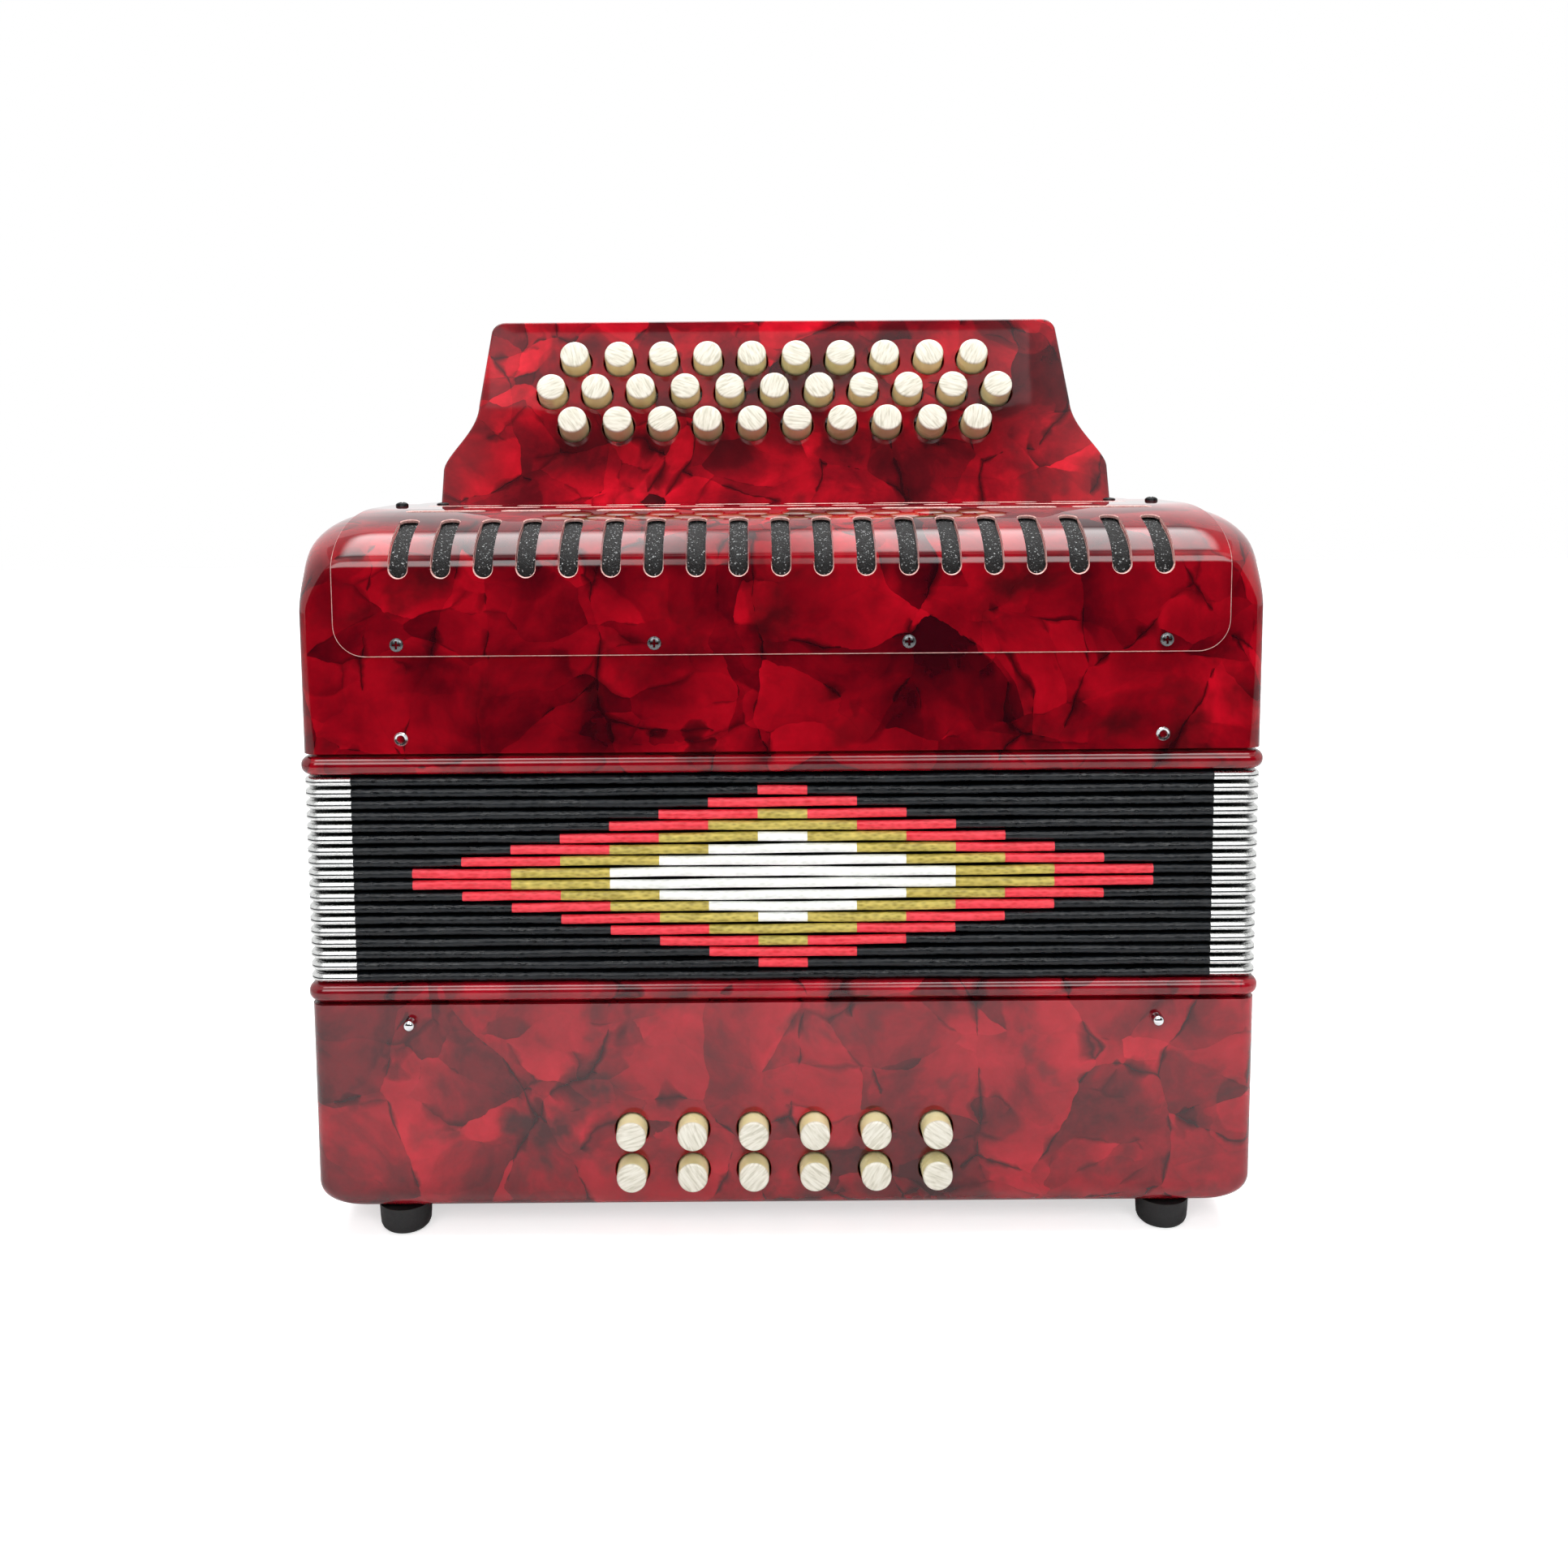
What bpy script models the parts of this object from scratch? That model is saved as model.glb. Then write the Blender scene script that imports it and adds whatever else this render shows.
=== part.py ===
"""Diatonic button accordion standing on its bass end, in metres, +Z up, front towards -Y."""

import math

import bmesh
import bpy
from mathutils import Matrix, Vector

# Body and casings
BODY_WIDTH = 0.3170
BODY_DEPTH = 0.1850
WALL = 0.0065
CORNER_RADIUS = 0.0050
BASS_HEIGHT = 0.0743
BASS_EDGE_RADIUS = 0.0120
TREBLE_HEIGHT = 0.0773
TREBLE_EDGE_RADIUS = 0.0120
TREBLE_CORNER_RADIUS = 0.0220
TREBLE_CORNER_START = 0.0310
TREBLE_CORNER_END = 0.0040
TREBLE_FRONT_ROLL_HEIGHT = 0.0165
TREBLE_FRONT_ROLL_DEPTH = 0.0465
CORNER_STEPS = 3
EDGE_STEPS = 6

# Gaps
TOUCH_GAP = 0.0003
RUNNING_GAP = 0.0004

# Feet
FOOT_HEIGHT = 0.0100
FOOT_RADIUS = 0.0090
FOOT_TIP_RADIUS = 0.0072
FOOT_INSET_X = 0.0268
FOOT_INSET_Y = 0.0140
FOOT_SIDES = 12

# Bellows and its two frames
FRAME_HEIGHT = 0.0060
FRAME_NECK = 0.0008
FRAME_NECK_INSET = 0.0022
FRAME_NOSE = 0.0018
FRAME_PROUD = 0.0012
FRAME_BAND = 0.0300
FOLD_COUNT = 18
FOLD_PITCH = 0.00392
FOLD_EDGE_SHARE = 0.62
FOLD_GROOVE_DEPTH = 0.0180
FOLD_DEPTH = 0.0220
FOLD_LINING = 0.0030

# Treble chamber inside its casing
SOUNDBOARD_TOP = 0.2050
SOUNDBOARD_THICK = 0.0060
CHAMBER_INSET = 0.0190
ROOF_THICK = 0.0060
ROOF_FRONT_Y = -0.0010
SILL_HEIGHT = 0.0070
PALM_WIDTH = 0.0050
PALM_LENGTH = 0.0130

# Grille cover
COVER_SIDE_INSET = 0.0122
COVER_WIDTH = BODY_WIDTH - 2 * COVER_SIDE_INSET
COVER_THICK = 0.0012
COVER_BOTTOM_Z = 0.2020
COVER_REAR_Y = 0.0040
COVER_CORNER_RADIUS = 0.0106
COVER_STEPS = 7
COVER_END_STEPS = 5
SLOT_COUNT = 19
SLOT_SIDE_MARGIN = 0.02192
SLOT_PITCH = (COVER_WIDTH - 2 * SLOT_SIDE_MARGIN) / (SLOT_COUNT - 1)
SLOT_WIDTH = 0.0060
SLOT_BOTTOM_Z = 0.2278
SLOT_CUT_REACH = 0.0200
SLOT_TOP_Y = -0.0726
TOP_SLOT_COUNTS = (8, 7, 8)
TOP_SLOT_SIDE_MARGIN = 0.0308
TOP_SLOT_PITCH = (COVER_WIDTH - 2 * TOP_SLOT_SIDE_MARGIN) / (TOP_SLOT_COUNTS[0] - 1)
TOP_SLOT_BRIDGE = 0.0060
TOP_SLOT_WIDTH = 0.0045
TOP_SLOT_FRONT_Y = -0.0570
TOP_SLOT_ROW_PITCH = 0.0185

# Fingerboard, a flared board that leans back
BOARD_LEAN = math.radians(25)
BOARD_Y = 0.0075
BOARD_THICK = 0.0060
BOARD_HEIGHT = 0.0810
BOARD_BASE_INSET = 0.0285
BOARD_FLARE_IN = 0.0125
BOARD_TAPER_IN = 0.0033
BOARD_BASE_HALF = BODY_WIDTH / 2 - BOARD_BASE_INSET
BOARD_NECK_HALF = BOARD_BASE_HALF - BOARD_FLARE_IN
BOARD_TOP_HALF = BOARD_NECK_HALF - BOARD_TAPER_IN
BOARD_FLARE_START = 0.0160
BOARD_FLARE_END = 0.0440
BOARD_CORNER_RADIUS = 0.0055
BOARD_FLARE_STEPS = 8
HOOD_WALL = 0.0030
HOOD_TOP_DROP = 0.0040
HOOD_TOP_DEPTH = 0.0170
HOOD_BASE_DEPTH = 0.0560
HOOD_SIDE_INSET = 0.0040

# Treble keys: a button, its bell-crank lever and its pallet
TREBLE_COUNTS = (10, 11, 10)
TREBLE_SIDE_MARGIN = 0.02595
TREBLE_PITCH = 2 * (BOARD_TOP_HALF - TREBLE_SIDE_MARGIN) / (TREBLE_COUNTS[1] - 1)
TREBLE_TOP_ROW_UP = 0.0625
TREBLE_ROW_PITCH = 0.0143
BUTTON_RADIUS = 0.0058
BUTTON_FACE_RADIUS = 0.0055
BUTTON_DOME = 0.0008
BUTTON_OUT = 0.0070
BUTTON_BELOW = 0.0030
BUTTON_HOLE_RADIUS = 0.0066
BUTTON_SIDES = 10
STEM_WIDTH = 0.0024
LEVER_THICK = 0.0020
LEVER_WIDTH = 0.0040
LEVER_BEHIND = 0.0105
LEVER_SHIFT = 0.0032
ROW_SHIFTS = (-LEVER_SHIFT, 0.0, LEVER_SHIFT)
KEY_AXLE_DROP = 0.0180
KEY_AXLE_BEHIND = 0.0050
KEY_AXLE_RADIUS = 0.0014
KEY_HUB_RADIUS = 0.0042
KEY_HUB_LENGTH = 0.0050
KEY_HUB_SIDES = 6
PALLET_ARM_LIFT = 0.0080
PALLET_BEND_Y = -0.0120
PALLET_FRONT_Y = -0.0660
PALLET_ROW_PITCH = 0.0180
PALLET_WIDTH = 0.0068
PALLET_LENGTH = 0.0160
PALLET_THICK = 0.0035
AXLE_POST_WIDTH = 0.0060
AXLE_POST_DEPTH = 0.0100
AXLE_OVERHANG = 0.0060
ARM_SLOT_FRONT = 0.0035
ARM_SLOT_LENGTH = 0.0200

# Reed blocks
REED_BOARD_THICK = 0.0050
REED_RIB_COUNT = 3
REED_RIB_WIDTH = 0.0140
REED_RIB_PITCH = 0.0300
REED_BLOCK_INSET = 0.0485
REED_BLOCK_LENGTH = BODY_WIDTH - 2 * REED_BLOCK_INSET
TREBLE_REED_HEIGHT = 0.0260
BASS_REED_Z = 0.0660
BASS_REED_HEIGHT = 0.0135

# Bass keys: buttons on plungers that slide through the front wall
BASS_TOP_ROW_Z = 0.0405
BASS_ROW_PITCH = 0.0143
BASS_COLUMNS = 6
BASS_PITCH = 0.0205
BASS_BUTTON_RADIUS = 0.0052
BASS_BUTTON_FACE_RADIUS = 0.0048
BASS_BUTTON_HOLE_RADIUS = 0.0058
BASS_BUTTON_IN = 0.0110
PLUNGER_RADIUS = 0.0018
PLUNGER_LENGTH = 0.0240
GUIDE_DEPTH_Y = 0.0200
GUIDE_THICK = 0.0050
GUIDE_MARGIN = 0.0100
BASS_FLOOR_THICK = 0.0060

# Air key on the upper end of the bass casing
AIR_KEY_Y = 0.0250
AIR_KEY_Z = 0.0470
AIR_KEY_RADIUS = 0.0070
AIR_KEY_HOLE_RADIUS = 0.0078
AIR_KEY_OUT = 0.0050
AIR_KEY_IN = 0.0160

# Places worked out from the sizes above
HALF_W = BODY_WIDTH / 2
HALF_D = BODY_DEPTH / 2
TREBLE_UPS = [TREBLE_TOP_ROW_UP - row * TREBLE_ROW_PITCH for row in range(len(TREBLE_COUNTS))]
TREBLE_ROWS = list(zip(TREBLE_COUNTS, TREBLE_UPS))
PALLET_YS = [PALLET_FRONT_Y + row * PALLET_ROW_PITCH for row in range(len(TREBLE_COUNTS))]
BASS_ROWS_Z = (BASS_TOP_ROW_Z, BASS_TOP_ROW_Z - BASS_ROW_PITCH)
TOP_SLOT_LENGTH = TOP_SLOT_PITCH - TOP_SLOT_BRIDGE
BASS_BOTTOM = FOOT_HEIGHT
BASS_TOP = BASS_BOTTOM + BASS_HEIGHT
BASS_FRAME_Z = BASS_TOP + TOUCH_GAP
BELLOWS_Z = BASS_FRAME_Z + FRAME_NECK + FRAME_HEIGHT + TOUCH_GAP
BELLOWS_TOP = BELLOWS_Z + FOLD_COUNT * FOLD_PITCH
TREBLE_FRAME_Z = BELLOWS_TOP + TOUCH_GAP
TREBLE_BOTTOM = TREBLE_FRAME_Z + FRAME_HEIGHT + FRAME_NECK + TOUCH_GAP
TREBLE_TOP = TREBLE_BOTTOM + TREBLE_HEIGHT
FRONT = -HALF_D
BOARD_UP = Vector((0, math.sin(BOARD_LEAN), math.cos(BOARD_LEAN)))
BOARD_OUT = Vector((0, -math.cos(BOARD_LEAN), math.sin(BOARD_LEAN)))
BOARD_FOOT = Vector((0, BOARD_Y, TREBLE_TOP + TOUCH_GAP))
SHIFT_X = -(AIR_KEY_OUT - FRAME_PROUD) / 2
SHIFT_Y = (BUTTON_OUT - FRAME_PROUD) / 2


def on_board(across, up, out):
    """A point at a height up the fingerboard's front face and a distance out of it."""
    return Vector((across, 0, 0)) + BOARD_FOOT + BOARD_UP * up + BOARD_OUT * out


KEY_AXLE = on_board(0, -KEY_AXLE_DROP, -KEY_AXLE_BEHIND)


# Scene, materials and small builders


def clear_scene():
    for item in list(bpy.data.objects):
        bpy.data.objects.remove(item, do_unlink=True)


def make_material(name, colour, roughness, metallic=0.0):
    material = bpy.data.materials.new(name)
    material.use_nodes = True
    shader = material.node_tree.nodes["Principled BSDF"]
    shader.inputs["Base Color"].default_value = (*colour, 1)
    shader.inputs["Roughness"].default_value = roughness
    shader.inputs["Metallic"].default_value = metallic
    return material


def new_object(name, bm, parent=None, material=None, smooth=35):
    """Turn a bmesh into an object with its sharp edges marked by angle."""
    bmesh.ops.recalc_face_normals(bm, faces=bm.faces)
    mesh = bpy.data.meshes.new(name)
    bm.to_mesh(mesh)
    bm.free()
    mesh.shade_smooth()
    mesh.set_sharp_from_angle(angle=math.radians(smooth))
    return place_mesh(name, mesh, parent, material)


def place_mesh(name, mesh, parent=None, material=None, location=(0, 0, 0)):
    item = bpy.data.objects.new(name, mesh)
    bpy.context.collection.objects.link(item)
    item.location = location
    item.parent = parent
    if material and not mesh.materials:
        mesh.materials.append(material)
    return item


def hide_helper(item):
    item.hide_render = True
    item.display_type = "WIRE"
    return item


def join_shape(target, other, operation):
    """Add an exact Boolean of a helper object, which then shares the target's parent."""
    other.parent = target.parent
    modifier = target.modifiers.new(other.name, "BOOLEAN")
    modifier.operation = operation
    modifier.solver = "EXACT"
    modifier.object = hide_helper(other)


def add_box(bm, low, high):
    size = Vector(high) - Vector(low)
    middle = (Vector(high) + Vector(low)) / 2
    matrix = Matrix.Translation(middle) @ Matrix.Diagonal((*size, 1))
    bmesh.ops.create_cube(bm, size=1, matrix=matrix)


def boxes(name, corners):
    bm = bmesh.new()
    for low, high in corners:
        add_box(bm, low, high)
    return new_object(name, bm)


def rounded_ring(half_x, half_y, radius, steps, z, front_y=None):
    """Points of a rounded rectangle at one height, whose front may lie nearer than its rear."""
    front_y = half_y if front_y is None else front_y
    points = []
    for quarter, (sx, y_side) in enumerate(((1, half_y), (-1, half_y), (-1, -front_y), (1, -front_y))):
        for step in range(steps + 1):
            angle = (quarter + step / steps) * math.pi / 2
            x = sx * (half_x - radius) + radius * math.cos(angle)
            y = y_side - math.copysign(radius, y_side) + radius * math.sin(angle)
            points.append(Vector((x, y, z)))
    return points


def skin_rings(bm, rings, closed=False):
    """Wall between rings of equal point counts, capped at its ends or closed on itself."""
    loops = [[bm.verts.new(point) for point in ring] for ring in rings]
    pairs = list(zip(loops, loops[1:]))
    if closed:
        pairs.append((loops[-1], loops[0]))
    for lower, upper in pairs:
        for i in range(len(lower)):
            bm.faces.new((lower[i - 1], lower[i], upper[i], upper[i - 1]))
    if not closed:
        bm.faces.new(loops[0])
        bm.faces.new(loops[-1])


def extrude_outline(bm, points, push):
    """Push a flat outline along a vector into a solid."""
    verts = [bm.verts.new(point) for point in points]
    face = bm.faces.new(verts)
    grown = bmesh.ops.extrude_face_region(bm, geom=[face])
    moved = [item for item in grown["geom"] if isinstance(item, bmesh.types.BMVert)]
    bmesh.ops.translate(bm, verts=moved, vec=push)


def round_points(centre, first, second, radius, start, end, steps):
    """Points on an arc in the plane of two unit directions."""
    points = []
    for step in range(steps + 1):
        angle = start + (end - start) * step / steps
        turned_way = first * math.cos(angle) + second * math.sin(angle)
        points.append(centre + turned_way * radius)
    return points


def capsule_points(centre, along, across, length, width, steps):
    """Outline of a round-ended slot."""
    reach = along * (length - width) / 2
    half = math.pi / 2
    far = round_points(centre + reach, along, across, width / 2, -half, half, steps)
    near = round_points(centre - reach, along, across, width / 2, half, 3 * half, steps)
    return far + near


def add_turned(bm, profile, sides, matrix):
    """Solid of revolution about local Z from (radius, height) pairs."""
    rings = []
    for radius, height in profile:
        ring = []
        for side in range(sides):
            angle = 2 * math.pi * side / sides
            point = Vector((radius * math.cos(angle), radius * math.sin(angle), height))
            ring.append(matrix @ point)
        rings.append(ring)
    skin_rings(bm, rings)


def turned(name, profile, sides, matrix, parent=None, material=None):
    bm = bmesh.new()
    add_turned(bm, profile, sides, matrix)
    return new_object(name, bm, parent, material)


def facing(direction, origin=(0, 0, 0)):
    """Matrix that turns local Z to a direction and moves it to an origin."""
    turn = Vector((0, 0, 1)).rotation_difference(Vector(direction))
    return Matrix.Translation(Vector(origin)) @ turn.to_matrix().to_4x4()


def baked_mesh(name, item):
    """The mesh of an object with its modifiers applied; the object becomes a helper."""
    bpy.context.view_layer.update()
    graph = bpy.context.evaluated_depsgraph_get()
    mesh = bpy.data.meshes.new_from_object(item.evaluated_get(graph))
    mesh.name = name
    hide_helper(item)
    return mesh


def row_places(count, pitch):
    """Places of a row of equal things, centred on zero."""
    return [(i - (count - 1) / 2) * pitch for i in range(count)]


# Casings


def roll_inset(fall, height, depth):
    """How far a rolled rim has moved in at a distance below its flat top."""
    rise = max(height - fall, 0) / height
    return depth * (1 - math.sqrt(max(1 - rise**2, 0)))


def casing_rings(low, high, edge_radius):
    """Rings of a rounded box whose bottom rim is rolled over."""
    rings = [(0, high)]
    for step in range(EDGE_STEPS + 1):
        angle = math.pi / 2 * step / EDGE_STEPS
        inset = edge_radius * (1 - math.cos(angle))
        rings.append((inset, low + edge_radius * (1 - math.sin(angle))))
    out = []
    for inset, z in rings:
        radius = CORNER_RADIUS + inset / 2
        out.append(rounded_ring(HALF_W - inset, HALF_D - inset, radius, CORNER_STEPS, z))
    return out


def treble_corner(fall):
    """Corner radius of the treble casing seen from above: it widens towards the top."""
    share = (TREBLE_CORNER_START - fall) / (TREBLE_CORNER_START - TREBLE_CORNER_END)
    share = min(max(share, 0), 1)
    return CORNER_RADIUS + (TREBLE_CORNER_RADIUS - CORNER_RADIUS) * share**2 * (3 - 2 * share)


def treble_rings():
    """Rings of the treble casing, whose top rolls over gently at the front."""
    falls = [TREBLE_HEIGHT, TREBLE_CORNER_START, (TREBLE_CORNER_START + TREBLE_FRONT_ROLL_HEIGHT) / 2]
    for step in range(EDGE_STEPS + 1):
        angle = math.pi / 2 * step / EDGE_STEPS
        falls.append(TREBLE_FRONT_ROLL_HEIGHT * (1 - math.sin(angle)))
    out = []
    for fall in falls:
        side = roll_inset(fall, TREBLE_EDGE_RADIUS, TREBLE_EDGE_RADIUS)
        front = roll_inset(fall, TREBLE_FRONT_ROLL_HEIGHT, TREBLE_FRONT_ROLL_DEPTH)
        halves = (HALF_W - side, HALF_D - side)
        z = TREBLE_TOP - fall
        out.append(rounded_ring(*halves, treble_corner(fall), CORNER_STEPS, z, HALF_D - front))
    return out


def treble_casing(model, material):
    """Treble box with its soundboard, the chamber over it and the slot for the key arms."""
    bm = bmesh.new()
    skin_rings(bm, treble_rings())
    casing = new_object("treble_casing", bm, model, material)
    half_x = HALF_W - CHAMBER_INSET
    inner_y = HALF_D - WALL
    over = TREBLE_TOP + WALL
    chamber_high = (half_x, HALF_D - CHAMBER_INSET, TREBLE_TOP - ROOF_THICK)
    chamber = ((-half_x, -inner_y, SOUNDBOARD_TOP), chamber_high)
    mouth_low = (-half_x, FRONT - WALL, SOUNDBOARD_TOP + SILL_HEIGHT)
    mouth = (mouth_low, (half_x, ROOF_FRONT_Y, over))
    arm_low = BOARD_Y + ARM_SLOT_FRONT
    arm_half = TREBLE_PITCH * (TREBLE_ROWS[1][0] - 1) / 2 + KEY_HUB_LENGTH
    arm_slot = ((-arm_half, arm_low, SOUNDBOARD_TOP), (arm_half, arm_low + ARM_SLOT_LENGTH, over))
    below = SOUNDBOARD_TOP - SOUNDBOARD_THICK
    hollow_low = (WALL - HALF_W, -inner_y, TREBLE_BOTTOM - WALL)
    hollow = (hollow_low, (HALF_W - WALL, inner_y, below))
    cuts = {"chamber": chamber, "mouth": mouth, "arm_slot": arm_slot, "hollow": hollow}
    for name, box in cuts.items():
        join_shape(casing, boxes("treble_" + name, [box]), "DIFFERENCE")
    palms = []
    for row, (count, _) in enumerate(TREBLE_ROWS):
        for x in row_places(count, TREBLE_PITCH):
            centre = Vector((x + ROW_SHIFTS[row], PALLET_YS[row], SOUNDBOARD_TOP))
            half = Vector((PALM_WIDTH / 2, PALM_LENGTH / 2, SOUNDBOARD_THICK + TOUCH_GAP))
            palms.append((centre - half, centre + half))
    join_shape(casing, boxes("palm_holes", palms), "DIFFERENCE")


def bass_casing(model, material):
    """Bass box, open towards the bellows, with holes for its buttons and the air key."""
    bm = bmesh.new()
    skin_rings(bm, casing_rings(BASS_BOTTOM, BASS_TOP, BASS_EDGE_RADIUS))
    casing = new_object("bass_casing", bm, model, material)
    low = (WALL - HALF_W, WALL - HALF_D, BASS_BOTTOM + BASS_FLOOR_THICK)
    high = (HALF_W - WALL, HALF_D - WALL, BASS_TOP + WALL)
    join_shape(casing, boxes("bass_hollow", [(low, high)]), "DIFFERENCE")
    bm = bmesh.new()
    for z in BASS_ROWS_Z:
        for x in row_places(BASS_COLUMNS, BASS_PITCH):
            profile = ((BASS_BUTTON_HOLE_RADIUS, -WALL), (BASS_BUTTON_HOLE_RADIUS, 2 * WALL))
            add_turned(bm, profile, BUTTON_SIDES, facing((0, 1, 0), (x, FRONT, z)))
    profile = ((AIR_KEY_HOLE_RADIUS, -WALL), (AIR_KEY_HOLE_RADIUS, 2 * WALL))
    add_turned(bm, profile, BUTTON_SIDES, facing((-1, 0, 0), (HALF_W, AIR_KEY_Y, AIR_KEY_Z)))
    join_shape(casing, new_object("bass_holes", bm), "DIFFERENCE")


def feet(model, material):
    for front, sy in (("front", -1), ("rear", 1)):
        for side, sx in (("left", -1), ("right", 1)):
            place = (sx * (HALF_W - FOOT_INSET_X), sy * (HALF_D - FOOT_INSET_Y), 0)
            profile = (
                (FOOT_TIP_RADIUS, 0),
                ((FOOT_TIP_RADIUS + 3 * FOOT_RADIUS) / 4, FOOT_HEIGHT / 4),
                (FOOT_RADIUS, FOOT_HEIGHT - TOUCH_GAP),
            )
            matrix = Matrix.Translation(place)
            turned(f"foot_{front}_{side}", profile, FOOT_SIDES, matrix, model, material)


# Bellows


def bellows_frame(name, z, neck_below, model, material):
    """Bullnosed ring that the bellows is glued to, with a short neck towards its casing."""
    shoulder = FRAME_NOSE * 0.3
    nose = ((FRAME_NOSE, 0), (shoulder, shoulder), (0, FRAME_NOSE))
    outer = [(inset - FRAME_PROUD, rise) for inset, rise in nose]
    outer += [(inset - FRAME_PROUD, FRAME_HEIGHT - rise) for inset, rise in reversed(nose)]
    outer += [(FRAME_NECK_INSET, FRAME_HEIGHT), (FRAME_NECK_INSET, FRAME_HEIGHT + FRAME_NECK)]
    levels = outer + [(FRAME_BAND, FRAME_HEIGHT + FRAME_NECK), (FRAME_BAND, 0)]
    rings = []
    for inset, rise in levels:
        height = FRAME_HEIGHT + FRAME_NECK - rise if neck_below else rise
        radius = max(CORNER_RADIUS - inset, FRAME_NOSE)
        rings.append(rounded_ring(HALF_W - inset, HALF_D - inset, radius, CORNER_STEPS, z + height))
    bm = bmesh.new()
    skin_rings(bm, rings, closed=True)
    new_object(name, bm, model, material)


def bellows(model, material):
    """Closed bellows: a folded tube of thin card whose fold edges are blunt bands."""
    edge = FOLD_PITCH * FOLD_EDGE_SHARE / 2
    levels = []
    for fold in range(FOLD_COUNT):
        middle = BELLOWS_Z + (fold + 0.5) * FOLD_PITCH
        levels += [(0, middle - edge), (0, middle + edge)]
        if fold < FOLD_COUNT - 1:
            levels.append((FOLD_GROOVE_DEPTH, middle + FOLD_PITCH / 2))
    inner = [(FOLD_DEPTH, BELLOWS_Z + edge)]
    for fold in range(FOLD_COUNT):
        inner.append((FOLD_LINING, BELLOWS_Z + (fold + 0.5) * FOLD_PITCH))
        inner.append((FOLD_DEPTH, BELLOWS_Z + (fold + 1) * FOLD_PITCH))
    inner[-1] = (FOLD_DEPTH, BELLOWS_TOP - edge)
    ends_low = [(FOLD_DEPTH, BELLOWS_Z), (0, BELLOWS_Z)]
    ends_high = [(0, BELLOWS_TOP), (FOLD_DEPTH, BELLOWS_TOP)]
    rings = []
    for inset, z in ends_low + levels + ends_high + inner[::-1]:
        radius = max(CORNER_RADIUS - inset, FRAME_NOSE)
        rings.append(rounded_ring(HALF_W - inset, HALF_D - inset, radius, 2, z))
    bm = bmesh.new()
    skin_rings(bm, rings, closed=True)
    new_object("bellows", bm, model, material)


# Grille cover


def cover_section(offset):
    """(distance along, fall, y) of the cover's section, from its lower edge to its rear edge."""
    height = TREBLE_FRONT_ROLL_HEIGHT + offset
    depth = TREBLE_FRONT_ROLL_DEPTH + offset
    high = TREBLE_TOP + offset
    points = [(high - COVER_BOTTOM_Z, FRONT - offset)]
    for fall in (TREBLE_CORNER_START, (TREBLE_CORNER_START + height) / 2):
        points.append((fall, FRONT - offset))
    for step in range(COVER_STEPS + 1):
        angle = math.pi / 2 * step / COVER_STEPS
        points.append((height * (1 - math.sin(angle)), FRONT - offset + depth * (1 - math.cos(angle))))
    points.append((0, COVER_REAR_Y))
    run = 0
    section = [(run, *points[0])]
    for (fall, y), (next_fall, next_y) in zip(points, points[1:]):
        run += math.hypot(next_fall - fall, next_y - y)
        section.append((run, next_fall, next_y))
    return section


def cover_recess(x, fall, offset):
    """How far the cover falls back round the casing's corner at a place across."""
    side = roll_inset(fall, TREBLE_EDGE_RADIUS, TREBLE_EDGE_RADIUS)
    past = max(abs(x) - (HALF_W - side - treble_corner(fall)), 0)
    radius = treble_corner(fall) + offset
    return radius - math.sqrt(radius**2 - past**2)


def bent_place(x, row, offset):
    """A point of the cover's sheet, bent over the casing, at a row of its section."""
    run, fall, y = cover_section(offset)[row]
    recess = cover_recess(x, fall, offset)
    if y >= COVER_REAR_Y:
        recess = 0
    return Vector((x, y + recess, TREBLE_TOP + offset - fall))


def grille_cover(model, material):
    """Sheet bent over the front and top of the treble casing, cut with two patterns of slots."""
    bm = bmesh.new()
    half = COVER_WIDTH / 2
    rows = [run for run, fall, y in cover_section(TOUCH_GAP + COVER_THICK)]
    add_box(bm, (-half, 0, 0), (half, rows[-1], COVER_THICK))
    corners = []
    for edge in bm.edges:
        first, second = (vert.co for vert in edge.verts)
        if max(first.y, second.y) < TOUCH_GAP and abs(first.x - second.x) < TOUCH_GAP:
            corners.append(edge)
    rounding = {"affect": "EDGES", "segments": 4, "profile": 0.5, "material": -1}
    bmesh.ops.bevel(bm, geom=corners, offset=COVER_CORNER_RADIUS, **rounding)
    corner_x = HALF_W - TREBLE_EDGE_RADIUS - TREBLE_CORNER_RADIUS
    cuts = [(Vector((0, run, 0)), Vector((0, 1, 0))) for run in rows[1:-1]]
    for step in range(COVER_END_STEPS):
        x = corner_x + (half - corner_x) * math.sin(math.pi / 2 * step / COVER_END_STEPS)
        cuts += [(Vector((side * x, 0, 0)), Vector((1, 0, 0))) for side in (-1, 1)]
    for place, normal in cuts:
        geometry = bm.verts[:] + bm.edges[:] + bm.faces[:]
        bmesh.ops.bisect_plane(bm, geom=geometry, dist=1e-6, plane_co=place, plane_no=normal)
    for vert in bm.verts:
        x, run, out = vert.co
        offset = TOUCH_GAP + out
        row = min(range(len(rows)), key=lambda index: abs(rows[index] - run))
        if run < rows[1]:
            vert.co = Vector((x, FRONT - offset, COVER_BOTTOM_Z + run))
        else:
            vert.co = bent_place(x, row, offset)
    cover = new_object("grille_cover", bm, model, material)
    join_shape(cover, front_slots(), "DIFFERENCE")
    join_shape(cover, top_slots(), "DIFFERENCE")


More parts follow.
